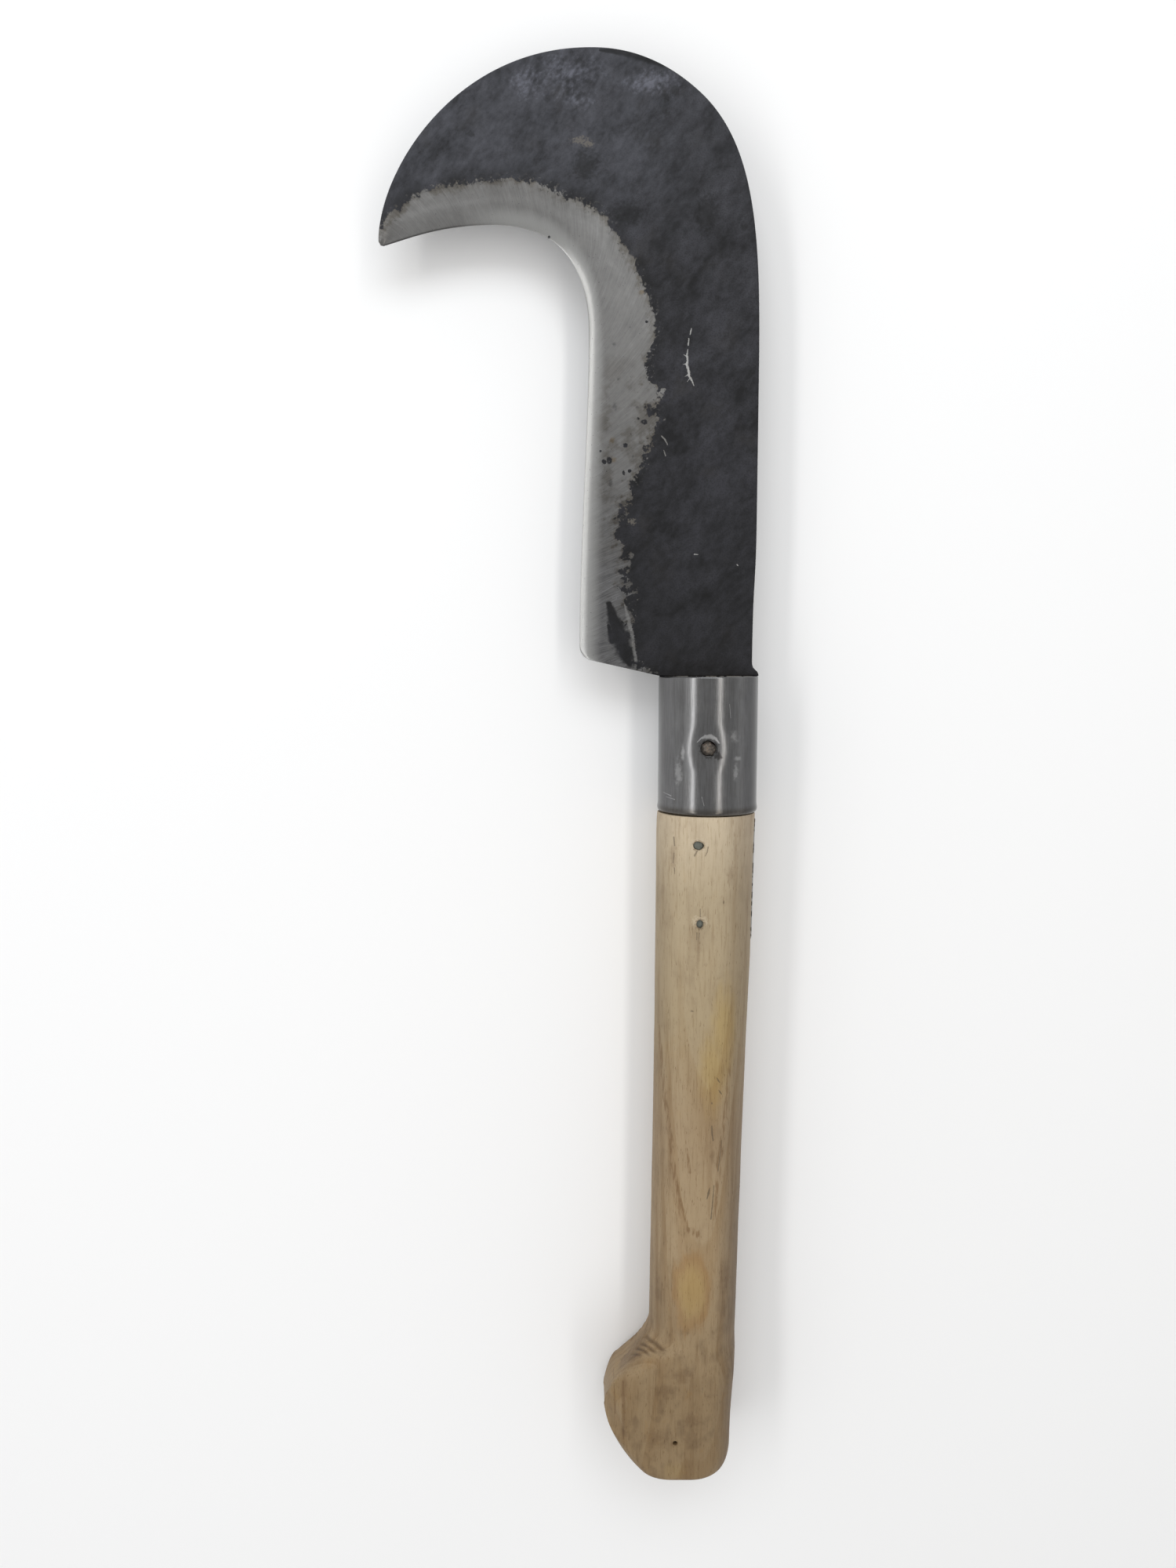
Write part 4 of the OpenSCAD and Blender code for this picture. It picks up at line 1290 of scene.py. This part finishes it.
WOOD_CRACKS = (
    ((-3.5, -77.2, 0.2), (-3.4, -79.8, 0.3)), ((-4.5, -85.4, 0.3), (-4.5, -87.8, 0.15)),
    ((-3.7, -85.4, 0.25), (-3.9, -88.1, 0.12)), ((-5.5, -59.3, 0.4), (-4.8, -57.8, 0.4)),
    ((-1.1, -56.2, 0.25), (-1.4, -58, 0.3), (-2.1, -59.3, 0.15)), ((-12.2, -53.6, 0.3),
    (-11.9, -56.4, 0.3)), ((-12.1, -59, 0.25), (-12.4, -62.4, 0.2)), ((-11.9, -64, 0.2),
    (-11.8, -66, 0.15)), ((-0.9, -247, 0.12), (-1, -249, 0.1)))
WOOD_SLIVERS = (
    ((2.8, -135.7, 0.15), (3.4, -136.8, 0.35), (3.9, -137.6, 0.15)), ((3.5, -140.2, 0.15),
    (4.2, -141.1, 0.4), (4.7, -141.9, 0.15)), ((1.3, -152.6, 0.25), (1.4, -155.2, 0.35),
    (1.8, -157.8, 0.3)), ((0.8, -174.7, 0.2), (0.4, -176.6, 0.55), (-0.1, -178.6, 0.2)),
    ((4.9, -158.3, 0.15), (3.7, -169.1, 0.2)), ((2.3, -174, 0.2), (1.4, -186, 0.3)))
WOOD_STREAKS = (
    ((-28.6, -246, 0.5), (-28.5, -256, 0.8), (-28.5, -266.6, 0.4)), ((-31.8, -248, 0.3),
    (-31.4, -258, 0.4)))
WOOD_LEGS = (
    ((-16.2, -120.6, 0.4), (-15.4, -134.3, 0.7), (-14.6, -143.6, 0.9), (-13.2, -153, 1.1),
    (-12.2, -163, 1.3), (-10.8, -174.8, 1.5), (-9.2, -182.4, 1.4), (-7.2, -189.2, 1.6), (-3.6, -191, 1.8)),
    ((7.8, -126, 0.4), (7, -137, 0.8), (5.8, -149.4, 1.1), (4.2, -168, 1.2), (2.4, -186, 1.2)),
    ((-7.1, -161.1, 0.6), (-6.1, -169, 1)))
# Colours down the handle, from the ferrule to the knob, darkening partly as painted shade where the light
# falls off towards the knob
WOOD_RAMP = (
    (0.0, 0.545, 0.45, 0.318), (0.12, 0.415, 0.332, 0.215), (0.33, 0.375, 0.292, 0.176),
    (0.52, 0.342, 0.25, 0.147), (0.75, 0.355, 0.26, 0.15), (1.0, 0.255, 0.178, 0.094))
# The growth rings: place and lean of the pith, radius of the first ring and distance of the next
PITH_MOVE = (0.0037, 0.0, 0.0462)
PITH_TURN = (3.04, 0, 0)
FIRST_RING = 0.052
RING_GAP = 3.2 * MM


def pale_wood():
    """Bare pale hardwood: growth rings, fibres, heartwood patches, flecks and soil, with painted shade
    towards the knob and along its sides.
    """
    material, board, shader = new_material("pale_wood")
    place = board.place()
    x, y, z = place.split()
    front = z.span(0.0, 3 * MM)

    # Growth rings round a pith below the handle that leans away towards the knob
    waver = place.stretch(0.12).lumps(9.0, 0.2)
    leaning = place.stretch(turn=PITH_TURN, move=PITH_MOVE)
    radius = board.vector("MULTIPLY", leaning, (1.0, 0.0, 1.0)).length()
    turn = board.math("FRACT", (radius - FIRST_RING) * (1 / RING_GAP) + waver, 0.0)
    late = turn.span(0.35, 0.93) * turn.span(1.0, 0.95) * y.span(-0.09, -0.14)
    fibre = place.stretch(0.06).noise(0.6, 5.0, 0.65)
    dash = place.stretch(0.14).noise(0.36, 2.0)
    streak = place.stretch(0.05).noise(3.0, 4.0, 0.55)

    # Paler at the ferrule, browner towards the knob: partly the wood's own colour, partly painted shade of
    # the light falling off towards the knob
    wood = y.span(-0.05, -0.25, kind="LINEAR").ramp(WOOD_RAMP)
    blotch = place.stretch(0.6).mottle(110.0, 420.0, 2.2)
    cloud = place.stretch(0.3).mottle(70.0, 300.0, 1.6)
    wood = wood.tint(cloud.span(0.5, 0.1), 0.80, 0.77, 0.75)
    knob = y.span(-0.20, -0.245)
    wood = wood.tint(blotch.span(0.55, 0.1) * knob.between(0.35, 0.9), 0.70, 0.67, 0.66)
    wood = wood.tint(blotch.span(0.6, 0.95) * knob.between(0.2, 0.8), 1.0, 0.90, 0.72)
    ragged = place.stretch(0.35).lumps(3.0, 0.35, 4.0)
    yellow = place.spots(WOOD_YELLOW, ragged, 0.8)
    amber = knob.colours((0.40, 0.28, 0.10), (0.28, 0.195, 0.09))
    wood = (yellow * 0.62).colours(wood, amber)
    wood = wood.tint(streak.span(0.5, 0.3) * 0.8, 0.84, 0.79, 0.73)
    wood = wood.tint(late * cloud.between(0.1, 0.7), 0.76, 0.66, 0.52)
    wood = wood.tint(fibre.span(0.5, 0.32) * 0.7, 0.76, 0.71, 0.64)
    wood = wood.tint(dash.span(0.38, 0.28) * 0.75, 0.62, 0.54, 0.45)
    oval = place.spots(((-5, -213, 16, 8, 17, 9),), ragged, 0.3)
    core = place.spots(((-5, -213, 16, 6.8, 15, 9),), ragged, 0.6)
    border = board.math("SUBTRACT", oval, core, clamp=True)
    wood = wood.tint(border * 0.7, 0.84, 0.66, 0.46)
    wood = wood.blend(core * 0.15, 0.42, 0.26, 0.09)

    # Greyer along the right side, partly painted shade of the side turning away from the light; painted
    # shade along the grip's sides above the knob; and the grain's dark legs
    # Partly painted shade: greyer along the right side, more so towards the knob
    wood = wood.tint(x.span(0.001, 0.012) * y.span(-0.13, -0.21, 0.3), 0.64, 0.63, 0.66)
    # Painted shade: darker along the grip's sides above the knob, where the wood turns away from the light
    side = board.math("ABSOLUTE", x + 0.003, 0.0).span(0.006, 0.015)
    wood = wood.tint(side * y.span(-0.235, -0.225) * 0.8, 0.72, 0.70, 0.68)
    broken = place.stretch(0.2).lumps(1.3, 1.5, 4.0)
    legs = place.strokes(WOOD_LEGS, broken) * front
    threads = place.stretch(0.13).noise(0.75, 3.0, 0.6)
    wood = wood.tint(legs * threads.span(0.42, 0.62, 0.15) * 0.75, 0.58, 0.46, 0.34)

    # Flecks, soil and cracks
    small = place.lumps(0.8, 0.8)
    flecks = place.spots(WOOD_FLECKS, small, 0.7)
    soil = place.spots(WOOD_SOIL, place.lumps(1.8, 0.6), 0.9)
    cracks = place.strokes(WOOD_CRACKS, small) * front
    brown = place.strokes(WOOD_STREAKS, broken) * front
    wood = wood.tint(brown * 0.6, 0.62, 0.52, 0.42)
    slivers = place.strokes(WOOD_SLIVERS, small) * front
    wood = wood.blend(place.spots(PIN_HALO, small) * 0.45, 0.56, 0.47, 0.34)
    wood = wood.tint(soil * 0.5, 0.56, 0.48, 0.42)
    wood = wood.tint(place.spots(SHOULDER_SHADE, ragged, 0.8) * 0.95, 0.54, 0.45, 0.34)
    wood = wood.tint(place.spots(PIN_MOUTHS, small, 0.35) * 0.7, 0.36, 0.31, 0.26)
    wood = wood.blend(flecks * 0.7, 0.10, 0.07, 0.042)
    wood = wood.blend(slivers * 0.7, 0.085, 0.062, 0.038)
    wood = wood.blend(cracks * 0.6, 0.10, 0.072, 0.045)
    wood = wood.tint(board.value_of("runout") * 0.8, 0.42, 0.36, 0.30)

    gloss = fibre.between(0.66, 0.54)
    height = fibre * 0.7 + late * -0.2 + dash.span(0.37, 0.27) * -0.4
    board.feed(shader, {
        "Base Color": wood, "Roughness": gloss, "Specular IOR Level": 0.35,
        "Normal": height.bump(0.4, 0.12)})
    return material


# The room
def lamp(name, place, aim, size, radiance, colour=(1, 1, 1)):
    """A flat soft light turned to its aim, its size level first and then across, in metres."""
    bpy.ops.object.light_add(type="AREA", location=place)
    light = bpy.context.object
    light.name = name
    light.data.shape = "RECTANGLE"
    light.data.size, light.data.size_y = size
    light.data.energy = radiance * math.pi * size[0] * size[1]
    light.data.color = colour
    light.rotation_euler = (Vector(aim) - Vector(place)).to_track_quat("-Z", "Y").to_euler()
    light.visible_camera = False


def make_room():
    """A plain pale floor, a pale sky and four soft lights."""
    bpy.ops.mesh.primitive_plane_add(size=6, location=(0, 0, FLOOR_Z * MM))
    floor = named("floor")
    material, board, shader = new_material("pale_floor")
    board.feed(shader, {"Base Color": (0.95, 0.95, 0.95), "Roughness": 0.9})
    floor.data.materials.append(material)
    world = bpy.data.worlds.new("pale_room")
    world.use_nodes = True
    sky = Board(world.node_tree)
    height = sky.place().split()[2]
    sky.feed(world.node_tree.nodes["Background"], {
        "Color": (1, 1, 1), "Strength": height.span(0.05, 0.65, 0.85, 0.5)})
    bpy.context.scene.world = world
    aim = (0, -0.02, 0)
    lamp("left_strip", (-0.505, -0.02, 0.617), aim, (1.3, 0.10), 3.7)
    lamp("left_glow", (-0.66, -0.02, 0.56), aim, (1.3, 0.30), 0.45)
    lamp("right_strip", (0.25, -0.02, 0.617), aim, (1.3, 0.085), 3.0, (1.0, 0.97, 0.93))
    lamp("far_panel", (0.0, 0.70, 0.82), (0, 0.15, 0), (0.9, 0.5), 2.5, (0.94, 0.97, 1.0))


# The camera, as fitted to the photograph: what it looks at, how far off and how tilted, in metres
AIM_X = -0.04095
AIM_Y = -0.037
AIM_DISTANCE = 0.4044
TILT = math.radians(6.2)


def make_camera():
    """The photograph's place, looking down on the tool."""
    bpy.ops.object.camera_add(
        location=(AIM_X, AIM_Y + AIM_DISTANCE * math.sin(TILT), AIM_DISTANCE * math.cos(TILT)),
        rotation=(-TILT, 0, 0))
    camera = bpy.context.object
    camera.data.lens = 27
    camera.data.sensor_width = 36
    camera.data.clip_start = 0.01
    bpy.context.scene.camera = camera
    bpy.context.scene.view_settings.view_transform = "Standard"


make_camera()
make_room()
finish_piece(make_blade(), "blade", forged_steel())
finish_piece(make_ferrule(), "ferrule", tube_steel())
finish_piece(make_ferrule_pin(), "ferrule_pin", rusty_steel())
wire = wire_steel()
for name, node, pin, top in (
        ("upper_cross_pin", "upper_handle_pin", UPPER_PIN, upper_high.z),
        ("lower_cross_pin", "lower_handle_pin", LOWER_PIN, lower_high.z)):
    finish_piece(make_handle_pin(name, pin, top), node, wire)
finish_piece(make_handle(), "handle", pale_wood())
